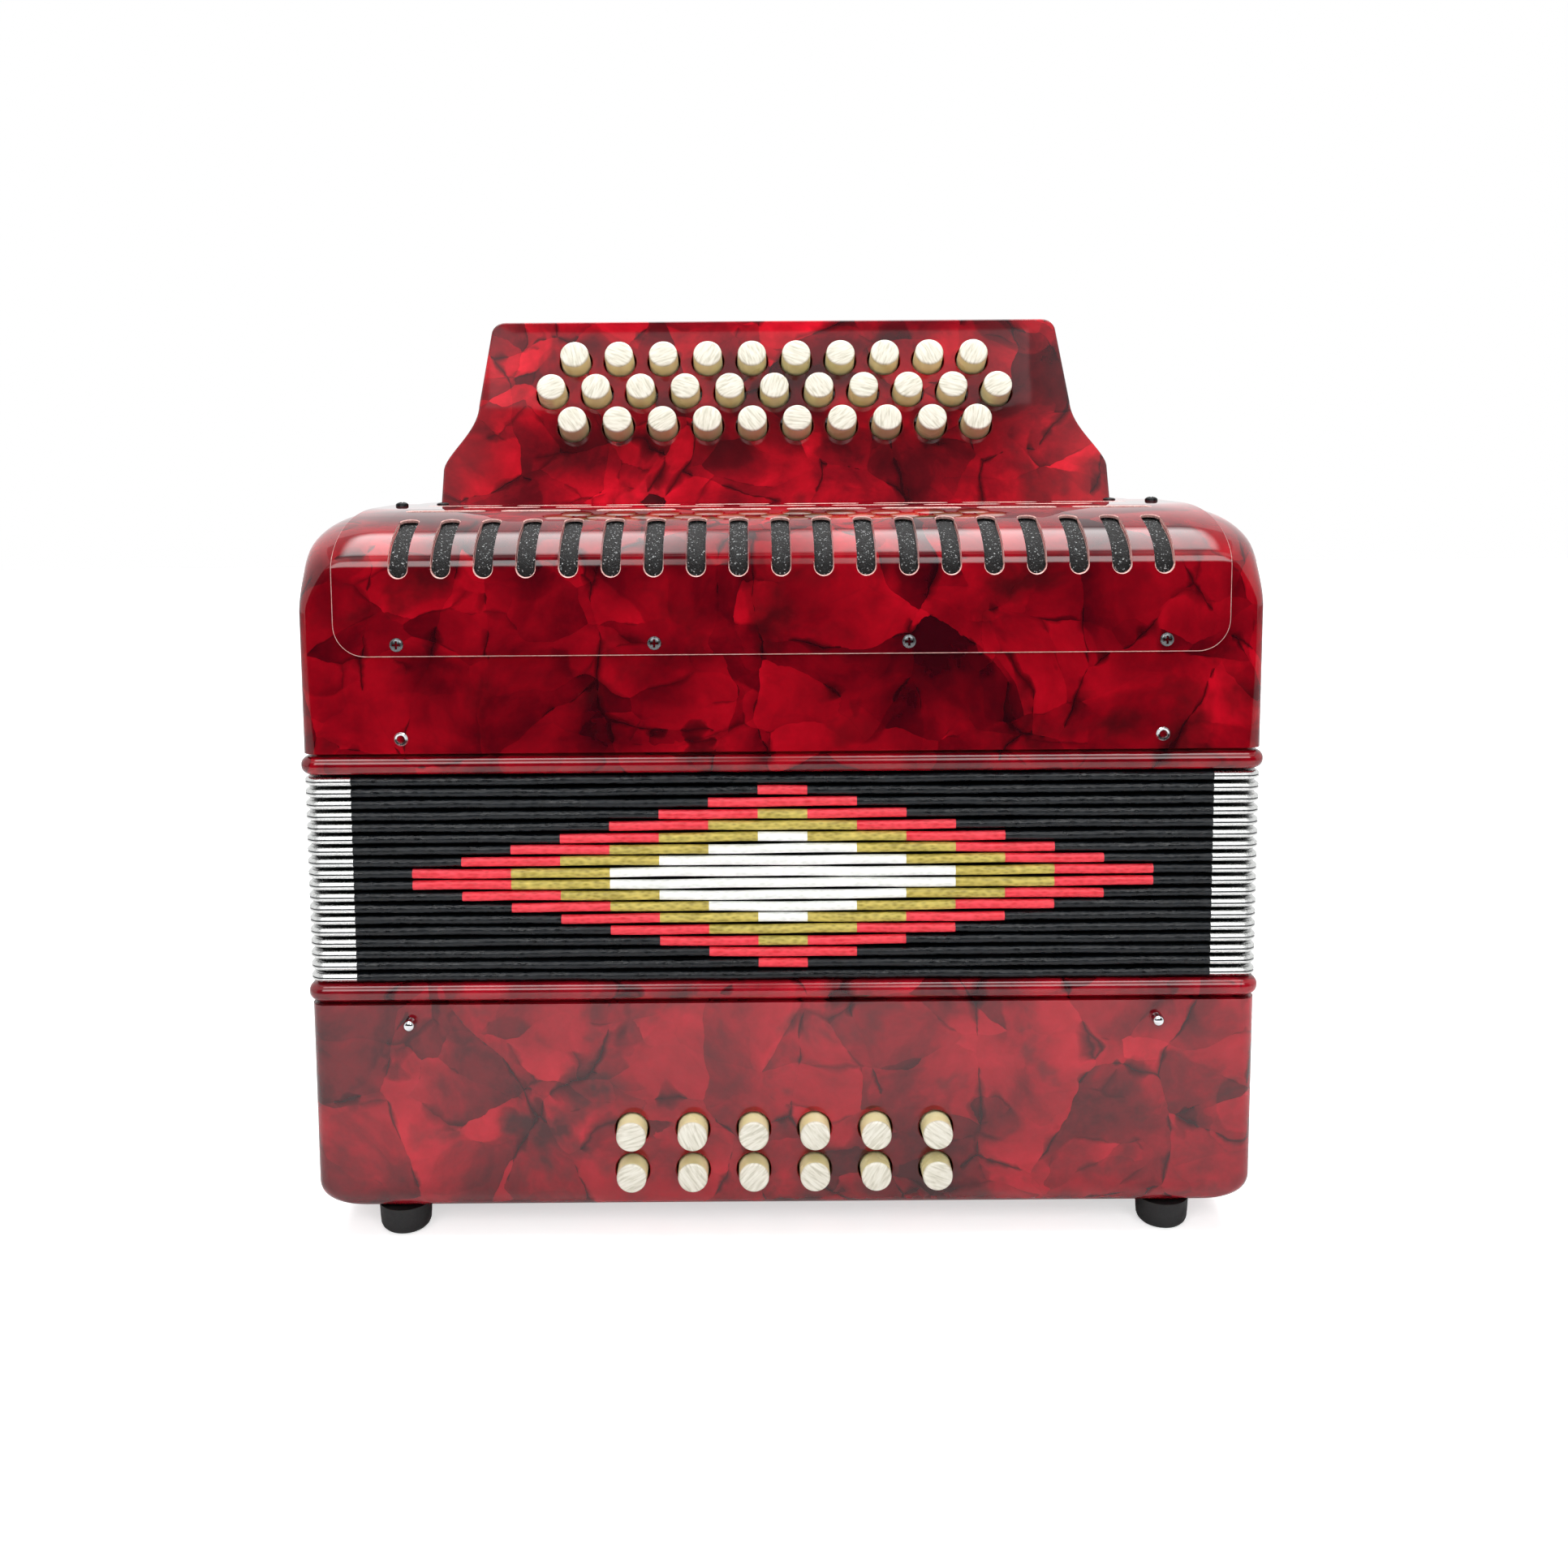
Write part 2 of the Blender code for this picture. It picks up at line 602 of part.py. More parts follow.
def front_slots():
    """Cutters for the upright slots that run over the rolled front edge."""
    bm = bmesh.new()
    slot_low = Vector((0, FRONT, SLOT_BOTTOM_Z))
    slot_high = Vector((0, SLOT_TOP_Y, TREBLE_TOP))
    along = Vector((0, 1, 1)).normalized()
    outward = Vector((0, -1, 1)).normalized()
    length = (slot_high - slot_low).dot(along)
    middle = (slot_low + slot_high) / 2
    reach = SLOT_CUT_REACH
    for x in row_places(SLOT_COUNT, SLOT_PITCH):
        centre = middle + Vector((x, 0, 0)) - outward * reach / 2
        points = capsule_points(centre, along, Vector((1, 0, 0)), length, SLOT_WIDTH, 3)
        extrude_outline(bm, points, outward * 2 * reach)
    return new_object("front_slots", bm)


def top_slots():
    """Cutters for the rows of long slots in the flat top."""
    bm = bmesh.new()
    across = Vector((1, 0, 0))
    for row, count in enumerate(TOP_SLOT_COUNTS):
        y = TOP_SLOT_FRONT_Y + row * TOP_SLOT_ROW_PITCH
        for x in row_places(count, TOP_SLOT_PITCH):
            centre = Vector((x, y, TREBLE_TOP - WALL))
            points = capsule_points(centre, across, Vector((0, 1, 0)), TOP_SLOT_LENGTH, TOP_SLOT_WIDTH, 2)
            extrude_outline(bm, points, Vector((0, 0, 2 * WALL)))
    return new_object("top_slots", bm)


# Fingerboard


def board_half_width(up):
    """Half width of the fingerboard at a height up its slope: foot, S-shaped flare, taper."""
    if up <= BOARD_FLARE_START:
        return BOARD_BASE_HALF
    if up < BOARD_FLARE_END:
        share = (up - BOARD_FLARE_START) / (BOARD_FLARE_END - BOARD_FLARE_START)
        ease = 0.5 - 0.5 * math.cos(math.pi * share**0.8)
        return BOARD_BASE_HALF + (BOARD_NECK_HALF - BOARD_BASE_HALF) * ease
    share = (up - BOARD_FLARE_END) / (BOARD_HEIGHT - BOARD_FLARE_END)
    return BOARD_NECK_HALF + (BOARD_TOP_HALF - BOARD_NECK_HALF) * share


def board_side(low):
    """(half width, height) pairs from the foot to the top corner of one side."""
    pairs = [(BOARD_BASE_HALF, low)]
    for step in range(BOARD_FLARE_STEPS + 1):
        up = BOARD_FLARE_START + (BOARD_FLARE_END - BOARD_FLARE_START) * step / BOARD_FLARE_STEPS
        pairs.append((board_half_width(up), up))
    centre_x = BOARD_TOP_HALF - BOARD_CORNER_RADIUS
    centre_up = BOARD_HEIGHT - BOARD_CORNER_RADIUS
    for step in range(4):
        angle = math.pi / 2 * step / 3
        x = centre_x + BOARD_CORNER_RADIUS * math.cos(angle)
        pairs.append((x, centre_up + BOARD_CORNER_RADIUS * math.sin(angle)))
    return pairs


def fingerboard(model, material):
    """Front plate of the fingerboard, cut level at its foot and drilled for the buttons."""
    bm = bmesh.new()
    side = board_side(-BOARD_THICK)
    points = [on_board(x, up, 0) for x, up in side] + [on_board(-x, up, 0) for x, up in side[::-1]]
    extrude_outline(bm, points, -BOARD_OUT * BOARD_THICK)
    geometry = bm.verts[:] + bm.edges[:] + bm.faces[:]
    level = {"plane_co": BOARD_FOOT, "plane_no": (0, 0, 1), "clear_inner": True}
    cut = bmesh.ops.bisect_plane(bm, geom=geometry, **level)
    rim = [item for item in cut["geom_cut"] if isinstance(item, bmesh.types.BMEdge)]
    bmesh.ops.contextual_create(bm, geom=rim)
    board = new_object("fingerboard", bm, model, material)
    bm = bmesh.new()
    for count, up in TREBLE_ROWS:
        for x in row_places(count, TREBLE_PITCH):
            profile = ((BUTTON_HOLE_RADIUS, -2 * BOARD_THICK), (BUTTON_HOLE_RADIUS, BOARD_THICK))
            add_turned(bm, profile, BUTTON_SIDES, facing(BOARD_OUT, on_board(x, up, 0)))
    join_shape(board, new_object("button_holes", bm), "DIFFERENCE")


def hood_profile(wall):
    """Side profile of the hood behind the fingerboard, moved in by a wall."""
    behind = BOARD_THICK + TOUCH_GAP
    top = BOARD_HEIGHT - HOOD_TOP_DROP - wall
    front_base = on_board(0, 0, -behind)
    front_base += BOARD_UP * (BOARD_FOOT.z - front_base.z) / BOARD_UP.z
    rear_base = BOARD_FOOT + Vector((0, HOOD_BASE_DEPTH - wall, 0))
    return [front_base, on_board(0, top, -behind), on_board(0, top, wall - HOOD_TOP_DEPTH), rear_base]


def hood_solid(name, wall, parent, material):
    """Tapered wedge across the back of the fingerboard."""
    points = hood_profile(wall)
    if wall:
        points[0] += BOARD_OUT * BOARD_THICK - Vector((0, 0, 2 * wall))
        points[1] += BOARD_OUT * BOARD_THICK
        points[3] -= Vector((0, 0, 2 * wall))
    bm = bmesh.new()
    side = Vector((-BOARD_TOP_HALF, 0, 0))
    extrude_outline(bm, [point + side for point in points], -2 * side)
    for vert in bm.verts:
        up = (vert.co - BOARD_FOOT).dot(BOARD_UP)
        share = min(max(up / BOARD_HEIGHT, 0), 1)
        width = BOARD_NECK_HALF + (BOARD_TOP_HALF - BOARD_NECK_HALF) * share - HOOD_SIDE_INSET - wall
        vert.co.x = math.copysign(width, vert.co.x)
    return new_object(name, bm, parent, material)


def fingerboard_back(model, material):
    hood = hood_solid("fingerboard_back", 0, model, material)
    join_shape(hood, hood_solid("hood_inside", HOOD_WALL, None, None), "DIFFERENCE")


# Treble action


def lever_outline(points, width):
    """Outline of a flat strip of even width along a line of points, with mitred bends."""
    left, right = [], []
    for i, point in enumerate(points):
        before = (point - points[i - 1]).normalized() if i else None
        after = (points[i + 1] - point).normalized() if i < len(points) - 1 else None
        ahead = ((before or after) + (after or before)).normalized()
        normal = Vector((0, -ahead.z, ahead.y))
        stretch = 1 / ahead.dot(after or before)
        left.append(point + normal * width / 2 * stretch)
        right.append(point - normal * width / 2 * stretch)
    return left + right[::-1]


def treble_key_mesh(row, material):
    """Button, stem, bell-crank lever, hub and pallet of one row, about the key axle."""
    up = TREBLE_ROWS[row][1]
    shift = ROW_SHIFTS[row]
    name = f"treble_key_{row + 1}"
    pallet_top = SOUNDBOARD_TOP + TOUCH_GAP + PALLET_THICK
    arm_z = pallet_top + PALLET_ARM_LIFT
    bend = Vector((0, PALLET_BEND_Y, arm_z)) - KEY_AXLE
    tip = Vector((0, PALLET_YS[row], arm_z)) - KEY_AXLE
    head = on_board(0, up, -LEVER_BEHIND) - KEY_AXLE
    knee = on_board(0, 0, -LEVER_BEHIND) - KEY_AXLE
    bm = bmesh.new()
    aside = Vector((shift - LEVER_THICK / 2, 0, 0))
    outline = lever_outline([head, knee, Vector(), bend, tip], LEVER_WIDTH)
    extrude_outline(bm, [point + aside for point in outline], Vector((LEVER_THICK, 0, 0)))
    lever = new_object(name + "_lever", bm, None, material)
    across = facing((1, 0, 0), (shift, 0, 0))
    hub_ends = (-KEY_HUB_LENGTH / 2, KEY_HUB_LENGTH / 2)
    hub = turned(name + "_hub", [(KEY_HUB_RADIUS, h) for h in hub_ends], KEY_HUB_SIDES, across)
    bore_radius = KEY_AXLE_RADIUS + RUNNING_GAP
    bore = turned(name + "_bore", [(bore_radius, 2 * h) for h in hub_ends], KEY_HUB_SIDES, across)
    out = facing(BOARD_OUT, on_board(0, up, 0) - KEY_AXLE)
    profile = (
        (BUTTON_RADIUS, -BUTTON_BELOW),
        (BUTTON_FACE_RADIUS, BUTTON_OUT - BUTTON_DOME),
        (BUTTON_FACE_RADIUS - BUTTON_DOME, BUTTON_OUT),
    )
    button = turned(name + "_button", profile, BUTTON_SIDES, out)
    stem_reach = LEVER_THICK / 2 + abs(shift)
    bm = bmesh.new()
    side = STEM_WIDTH / 2
    low = (-side if shift >= 0 else -stem_reach, -side, -LEVER_BEHIND)
    high = (side if shift <= 0 else stem_reach, side, -BUTTON_BELOW / 2)
    add_box(bm, low, high)
    turn = Matrix((Vector((1, 0, 0)), BOARD_UP, BOARD_OUT)).transposed().to_4x4()
    bmesh.ops.transform(bm, matrix=Matrix.Translation(out.translation) @ turn, verts=bm.verts)
    stem = new_object(name + "_stem", bm)
    bm = bmesh.new()
    base = pallet_top - PALLET_THICK - KEY_AXLE.z
    place = Vector((shift, tip.y, base))
    half = Vector((PALLET_WIDTH / 2, PALLET_LENGTH / 2, 0))
    add_box(bm, place - half, place + half + Vector((0, 0, PALLET_THICK)))
    pallet = new_object(name + "_pallet", bm)
    bm = bmesh.new()
    half = Vector((LEVER_THICK, LEVER_WIDTH / 2, 0))
    raised = Vector((0, LEVER_WIDTH, PALLET_THICK / 2))
    rise = Vector((0, 0, PALLET_ARM_LIFT + LEVER_WIDTH / 2))
    add_box(bm, place - half + raised, place + half + raised + rise)
    post = new_object(name + "_post", bm)
    for other in (hub, button, stem, pallet, post):
        join_shape(lever, other, "UNION")
    join_shape(lever, bore, "DIFFERENCE")
    return baked_mesh(name, lever)


def treble_keys(model, material):
    for row, (count, _) in enumerate(TREBLE_ROWS):
        mesh = treble_key_mesh(row, material)
        for column, x in enumerate(row_places(count, TREBLE_PITCH)):
            place = (x, KEY_AXLE.y, KEY_AXLE.z)
            place_mesh(f"treble_key_{row + 1}_{column + 1:02d}", mesh, model, material, place)


def treble_key_axle(model, material):
    """Wire axle of the treble keys on the posts that carry it from the soundboard."""
    reach = TREBLE_PITCH * (TREBLE_ROWS[1][0] - 1) / 2 + KEY_HUB_LENGTH + AXLE_OVERHANG
    across = facing((1, 0, 0), KEY_AXLE)
    profile = ((KEY_AXLE_RADIUS, -reach), (KEY_AXLE_RADIUS, reach))
    axle = turned("treble_key_axle", profile, BUTTON_SIDES, across, model, material)
    for name, side in (("left_post", -1), ("right_post", 1)):
        x = side * (reach - AXLE_POST_WIDTH / 2)
        half_x = AXLE_POST_WIDTH / 2 + RUNNING_GAP
        half_y = AXLE_POST_DEPTH / 2
        low = (x - half_x, KEY_AXLE.y - half_y, SOUNDBOARD_TOP + TOUCH_GAP)
        high = (x + half_x, KEY_AXLE.y + half_y, KEY_AXLE.z + half_y)
        join_shape(axle, boxes(name, [(low, high)]), "UNION")


# Reed blocks and bass action


def reed_block(name, board_low, board_high, rib_low, rib_high, half_x, half_y, model, material):
    """A board across the casing with ribs that carry the reed plates."""
    block = boxes(name, [((-half_x, -half_y, board_low), (half_x, half_y, board_high))])
    block.parent = model
    block.data.materials.append(material)
    ribs = []
    for y in row_places(REED_RIB_COUNT, REED_RIB_PITCH):
        low = (-REED_BLOCK_LENGTH / 2, y - REED_RIB_WIDTH / 2, rib_low)
        high = (REED_BLOCK_LENGTH / 2, y + REED_RIB_WIDTH / 2, rib_high)
        ribs.append((low, high))
    join_shape(block, boxes(name + "_ribs", ribs), "UNION")


def reed_blocks(model, material):
    top = SOUNDBOARD_TOP - SOUNDBOARD_THICK - TOUCH_GAP
    board_low = top - REED_BOARD_THICK
    half_x = REED_BLOCK_LENGTH / 2 + REED_RIB_WIDTH / 2
    half_y = REED_RIB_PITCH * (REED_RIB_COUNT - 1) / 2 + REED_RIB_WIDTH
    overlap = REED_BOARD_THICK / 2
    ribs = (top - TREBLE_REED_HEIGHT, board_low + overlap)
    reed_block("treble_reed_block", board_low, top, *ribs, half_x, half_y, model, material)
    board_high = BASS_REED_Z + REED_BOARD_THICK
    half_x = HALF_W - WALL - TOUCH_GAP
    half_y = HALF_D - WALL - TOUCH_GAP
    ribs = (board_high - overlap, BASS_REED_Z + BASS_REED_HEIGHT)
    reed_block("bass_reed_block", BASS_REED_Z, board_high, *ribs, half_x, half_y, model, material)


def bass_keys(model, material):
    """Bass buttons on plungers, sharing one mesh."""
    profile = (
        (BASS_BUTTON_FACE_RADIUS - BUTTON_DOME, -BUTTON_OUT),
        (BASS_BUTTON_FACE_RADIUS, BUTTON_DOME - BUTTON_OUT),
        (BASS_BUTTON_RADIUS, BASS_BUTTON_IN),
        (PLUNGER_RADIUS, BASS_BUTTON_IN),
        (PLUNGER_RADIUS, BASS_BUTTON_IN + PLUNGER_LENGTH),
    )
    bm = bmesh.new()
    add_turned(bm, profile, BUTTON_SIDES, facing((0, 1, 0)))
    mesh = new_object("bass_key_pattern", bm, None, material).data
    hide_helper(bpy.data.objects["bass_key_pattern"])
    for row, z in enumerate(BASS_ROWS_Z):
        for column, x in enumerate(row_places(BASS_COLUMNS, BASS_PITCH)):
            place_mesh(f"bass_key_{row + 1}_{column + 1}", mesh, model, material, (x, FRONT, z))


def bass_button_guide(model, material):
    """Drilled board behind the front wall that keeps the bass plungers straight."""
    half_x = BASS_PITCH * (BASS_COLUMNS - 1) / 2 + GUIDE_MARGIN
    front_y = FRONT + GUIDE_DEPTH_Y
    floor = BASS_BOTTOM + BASS_FLOOR_THICK + TOUCH_GAP
    low = (-half_x, front_y, floor)
    high = (half_x, front_y + GUIDE_THICK, BASS_ROWS_Z[0] + GUIDE_MARGIN)
    guide = boxes("bass_button_guide", [(low, high)])
    guide.parent = model
    guide.data.materials.append(material)
    bm = bmesh.new()
    radius = PLUNGER_RADIUS + RUNNING_GAP
    for z in BASS_ROWS_Z:
        for x in row_places(BASS_COLUMNS, BASS_PITCH):
            profile = ((radius, -GUIDE_THICK), (radius, 2 * GUIDE_THICK))
            add_turned(bm, profile, KEY_HUB_SIDES, facing((0, 1, 0), (x, front_y, z)))
    join_shape(guide, new_object("guide_holes", bm), "DIFFERENCE")


def air_key(model, material):
    """Thumb button on the upper end of the bass casing that lets air out of the bellows."""
    profile = (
        (AIR_KEY_RADIUS, -AIR_KEY_IN),
        (AIR_KEY_RADIUS, AIR_KEY_OUT - BUTTON_DOME),
        (AIR_KEY_RADIUS - BUTTON_DOME, AIR_KEY_OUT),
    )
    place = facing((1, 0, 0), (HALF_W, AIR_KEY_Y, AIR_KEY_Z))
    turned("air_key", profile, 16, place, model, material)


def main():
    clear_scene()
    celluloid = make_material("red_celluloid", (0.42, 0.008, 0.015), 0.15)
    cover_sheet = make_material("red_cover_sheet", (0.40, 0.008, 0.015), 0.12)
    card = make_material("black_bellows_cloth", (0.012, 0.013, 0.015), 0.65)
    pearl = make_material("pearl_button", (0.86, 0.83, 0.70), 0.25)
    rubber = make_material("black_rubber", (0.015, 0.015, 0.016), 0.7)
    steel = make_material("steel_wire", (0.55, 0.55, 0.56), 0.35, 1.0)
    wood = make_material("spruce", (0.62, 0.44, 0.25), 0.55)
    model = bpy.data.objects.new("accordion", None)
    bpy.context.collection.objects.link(model)
    model.location = (SHIFT_X, SHIFT_Y, 0)
    feet(model, rubber)
    bass_casing(model, celluloid)
    bass_keys(model, pearl)
    bass_button_guide(model, wood)
    air_key(model, pearl)
    bellows_frame("bass_bellows_frame", BASS_FRAME_Z, True, model, celluloid)
    bellows(model, card)
    bellows_frame("treble_bellows_frame", TREBLE_FRAME_Z, False, model, celluloid)
    treble_casing(model, celluloid)
    reed_blocks(model, wood)
    treble_key_axle(model, steel)
    treble_keys(model, pearl)
    grille_cover(model, cover_sheet)
    fingerboard(model, celluloid)
    fingerboard_back(model, celluloid)


main()
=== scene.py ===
"""Looks, camera and light for a diatonic button accordion that stands on its bass end."""

import math

import bmesh
import bpy
from mathutils import Matrix, Vector


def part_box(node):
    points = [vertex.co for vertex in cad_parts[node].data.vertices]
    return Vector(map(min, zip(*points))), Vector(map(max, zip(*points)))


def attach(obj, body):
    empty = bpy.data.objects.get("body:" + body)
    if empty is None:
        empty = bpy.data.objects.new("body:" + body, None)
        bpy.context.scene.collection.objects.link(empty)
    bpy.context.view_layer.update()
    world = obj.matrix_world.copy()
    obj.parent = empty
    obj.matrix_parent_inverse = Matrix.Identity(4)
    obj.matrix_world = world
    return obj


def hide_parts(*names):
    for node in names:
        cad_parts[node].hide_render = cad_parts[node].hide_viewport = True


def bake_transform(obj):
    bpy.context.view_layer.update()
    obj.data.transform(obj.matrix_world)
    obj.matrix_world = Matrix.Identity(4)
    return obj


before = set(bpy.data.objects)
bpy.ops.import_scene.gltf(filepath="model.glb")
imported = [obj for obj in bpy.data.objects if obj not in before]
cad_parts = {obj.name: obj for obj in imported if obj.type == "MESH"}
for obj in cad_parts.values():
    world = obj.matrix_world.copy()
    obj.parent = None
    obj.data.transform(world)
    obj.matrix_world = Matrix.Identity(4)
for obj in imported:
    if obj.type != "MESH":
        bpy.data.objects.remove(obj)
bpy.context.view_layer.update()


def corners(node):
    """Lowest and highest corners of a solid at rest."""
    return [Vector(corner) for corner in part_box(node)]


# Sizes in metres, about the middle of the body: the main ones come from the solids

casing_low, casing_high = corners("treble_casing")
bass_low, bass_high = corners("bass_casing")
bellows_low, bellows_high = corners("bellows")
frame_low, frame_high = corners("treble_bellows_frame")
cover_low, cover_high = corners("grille_cover")

MIDDLE = Vector(((casing_low.x + casing_high.x) / 2, (casing_low.y + casing_high.y) / 2, 0))
HALF_W = (casing_high.x - casing_low.x) / 2
HALF_D = (casing_high.y - casing_low.y) / 2
FRONT = -HALF_D
WALL = 0.0065
CORNER = 0.0050
GAP = 0.0003

BASS_LOW, BASS_HIGH = bass_low.z, bass_high.z
BASS_ROLL = 0.0120
BASS_FLOOR = 0.0060
FOOT_X = 0.1317
FOOT_Y = 0.0785
FOOT_PROFILE = ((0, 0), (0.0060, 0), (0.0072, 0.0005), (0.0081, 0.0014), (0.0086, 0.0026))
FOOT_PROFILE += ((0.0088, 0.0052), (0.0090, 0.0097), (0, 0.0097))
TREBLE_LOW, TREBLE_HIGH = casing_low.z, casing_high.z
TREBLE_ROLL = 0.0120
TREBLE_CORNER = 0.0220
TREBLE_CORNER_START = 0.0310
TREBLE_CORNER_END = 0.0040
FRONT_ROLL_HEIGHT = 0.0165
FRONT_ROLL_DEPTH = 0.0465
ROLL_STEPS = 14
SOUNDBOARD_TOP = 0.2050
SOUNDBOARD = 0.0060
SILL = 0.0070
ROOF = 0.0060
ROOF_FRONT = -0.0010
CHAMBER_INSET = 0.0190
ARM_SLOT_HALF = 0.0933
ARM_SLOT_SETBACK = 0.0035
ARM_SLOT_DEPTH = 0.0200

FRAME_HEIGHT = 0.0060
FRAME_NECK = 0.0008
FRAME_NECK_INSET = 0.0022
FRAME_NOSE = 0.0028
FRAME_BAND = 0.0300
FRAME_PROUD = (frame_high.x - frame_low.x) / 2 - HALF_W
TREBLE_FRAME_LOW = frame_low.z
BASS_FRAME_LOW = BASS_HIGH + GAP

FOLDS = 18
BELLOWS_LOW = bellows_low.z
FOLD_PITCH = (bellows_high.z - BELLOWS_LOW) / FOLDS
VALLEY_INSET = 0.0180
RIDGE_INSET = 0.0007
CARD = 0.0004
TAPE_HALF = 0.00146
TAPE_NOSE = 0.00130
TAPE_TAIL = 0.0045
TAPE_TAIL_HALF = 0.0003
TAPE_WAVE = 0.00013
WAVE_SLOW, WAVE_QUICK = 0.0210, 0.0068
WAVE_END, WAVE_FADE = 0.1380, 0.0100
STRIP_PROUD = 0.00012
STRIP_UNDER = 0.0003
CAP_HALF = 0.00152
CAP_PROUD = 0.00028
CAP_GROOVE = 0.00045
CAP_REACH = 0.1425
STEP_UNIT = 0.0164

COVER_HALF = (cover_high.x - cover_low.x) / 2
COVER_THICK = 0.0012
COVER_LOW = cover_low.z
COVER_REAR = cover_high.y - MIDDLE.y
COVER_CORNER = 0.0106
COVER_RIM = 0.00028
COVER_STEPS = 24
SLOT_COUNT = 19
SLOT_PITCH = (COVER_HALF - 0.02192) * 2 / (SLOT_COUNT - 1)
SLOT_WIDTH = 0.0060
SLOT_LOW = 0.2278
SLOT_TOP_Y = -0.0712
TOP_SLOT_PITCH = (COVER_HALF - 0.0308) * 2 / 7
TOP_SLOT_LENGTH = TOP_SLOT_PITCH - 0.0060
TOP_SLOT_WIDTH = 0.0045
TOP_SLOT_ROWS = ((-0.0570, 8), (-0.0385, 7), (-0.0200, 8))
BETWEEN_TOP_SLOTS = (-0.0660, -0.0478, -0.0292, -0.0100)
FOAM_INSET = 0.0006
FOAM_START, FOAM_END_GAP = 0.0135, 0.0064
FOAM_LOW, FOAM_HIGH = -0.0022, -0.0008

BOARD_LEAN = math.radians(25)
BOARD_THICK = 0.0060
BOARD_HEIGHT = 0.0810
BOARD_BASE_HALF = HALF_W - 0.0285
BOARD_NECK_HALF = BOARD_BASE_HALF - 0.0125
BOARD_TOP_HALF = BOARD_NECK_HALF - 0.0033
BOARD_FLARE = (0.0160, 0.0440)
BOARD_CORNER = 0.0055
BOARD_EDGE = 0.0009
BOARD_UP = Vector((0, math.sin(BOARD_LEAN), math.cos(BOARD_LEAN)))
BOARD_OUT = Vector((0, -math.cos(BOARD_LEAN), math.sin(BOARD_LEAN)))
BOARD_FOOT = Vector((0, 0.0075, TREBLE_HIGH + GAP))
HOOD_WALL = 0.0030
HOOD_TOP_DROP = 0.0040
HOOD_TOP_DEPTH = 0.0170
HOOD_BASE_DEPTH = 0.0560
HOOD_SIDE_INSET = 0.0040
HOOD_EDGE = 0.0050
TREBLE_ROWS = ((10, 0.0625), (11, 0.0482), (10, 0.0339))
TREBLE_PITCH = (BOARD_TOP_HALF - 0.02595) * 2 / 10
TREBLE_HOLE = 0.0066
ROW_MARGIN = 0.0085
BUTTON_OUT = 0.0070
BUTTON_EDGE = 0.0009
TREBLE_BUTTON = (0.00585, 0.00560, BUTTON_OUT + 0.0001, 0.0032)
BASS_BUTTON = (0.0052, 0.0050, BUTTON_OUT, 0.0110)
AIR_BUTTON = (0.0070, 0.0070, 0.0050, 0.0160)
PLUNGER = ((0, -0.0350), (0.0018, -0.0350), (0.0018, -0.0105), (0, -0.0105))
BASS_ROWS = (0.0405, 0.0262)
BASS_COLUMNS = 6
BASS_PITCH = 0.0205
BASS_HOLE = 0.0058
AIR_KEY_AT = Vector((HALF_W, 0.0250, 0.0470))
AIR_KEY_HOLE = 0.0078

SCREEN_Y = -1.0
SCREEN_LOW, SCREEN_TOP = 0.30, 2.20
SCREEN_HALF = 1.7
SCREEN_DIM_LEVEL = 0.06
LOWER_POOL = ((-0.06, 0.26), (0.72, 0.50), (0.40, 0.56), (1.16, 0.92))
LOWER_LEVEL = 5.6
UPPER_POOL = ((0.30, 0.62), (1.70, 1.20), (0.90, 1.25), (2.20, 1.80))
UPPER_LEVEL = 1.4
OVERHEAD_Z = 1.6
OVERHEAD_HALF = 1.3
OVERHEAD_DIM_LEVEL = 0.50
OVERHEAD_POOL = ((-0.08, 0.22), (0.78, 0.55), (-0.80, -0.45), (1.10, 0.70))
OVERHEAD_LEVEL = 6.2
FLAG_Y = -0.90
FLAG_TOP = 0.400

BEVEL = {"affect": "EDGES", "profile": 0.5, "material": -1, "clamp_overlap": True}


# Materials


def linear(colour):
    """An sRGB hex colour as linear red, green, blue and alpha."""
    channels = [int(colour[i : i + 2], 16) / 255 for i in (1, 3, 5)]
    out = [c / 12.92 if c <= 0.04045 else ((c + 0.055) / 1.055) ** 2.4 for c in channels]
    return (*out, 1)


def add(tree, kind, inputs=None, stops=(), **settings):
    """Add a node with its settings, its ramp stops, and its values or links."""
    made = tree.nodes.new("ShaderNode" + kind)
    for name, value in settings.items():
        setattr(made, name, value)
    for i, (place, colour) in enumerate(stops):
        stop = made.color_ramp.elements[i] if i < 2 else made.color_ramp.elements.new(place)
        stop.position = place
        stop.color = linear(colour)
    for key, value in (inputs or {}).items():
        if isinstance(value, bpy.types.NodeSocket):
            tree.links.new(value, made.inputs[key])
        else:
            made.inputs[key].default_value = value
    return made


def start_material(name, **values):
    """A material with its node tree, its shader and the values set on the shader."""
    material = bpy.data.materials.new(name)
    material.use_nodes = True
    tree = material.node_tree
    shader = tree.nodes["Principled BSDF"]
    for key, value in values.items():
        shader.inputs[key.replace("_", " ").title().replace("Ior", "IOR")].default_value = value
    return material, tree, shader


def mixed(tree, share, first, second):
    """Colour that goes from the first to the second."""
    return add(tree, "Mix", {0: share, 6: first, 7: second}, data_type="RGBA").outputs[2]


def pushed(tree, place, size, amount, detail):
    """Coordinates pushed about by noise of a real size."""
    noise = add(tree, "TexNoise", {"Vector": place, "Scale": 1 / size, "Detail": detail})
    off_grey = {0: noise.outputs["Color"], 1: (0.5, 0.5, 0.5)}
    centred = add(tree, "VectorMath", off_grey, operation="SUBTRACT").outputs[0]
    push = add(tree, "VectorMath", {0: centred, "Scale": amount}, operation="SCALE")
    return add(tree, "VectorMath", {0: place, 1: push.outputs[0]}, operation="ADD").outputs[0]


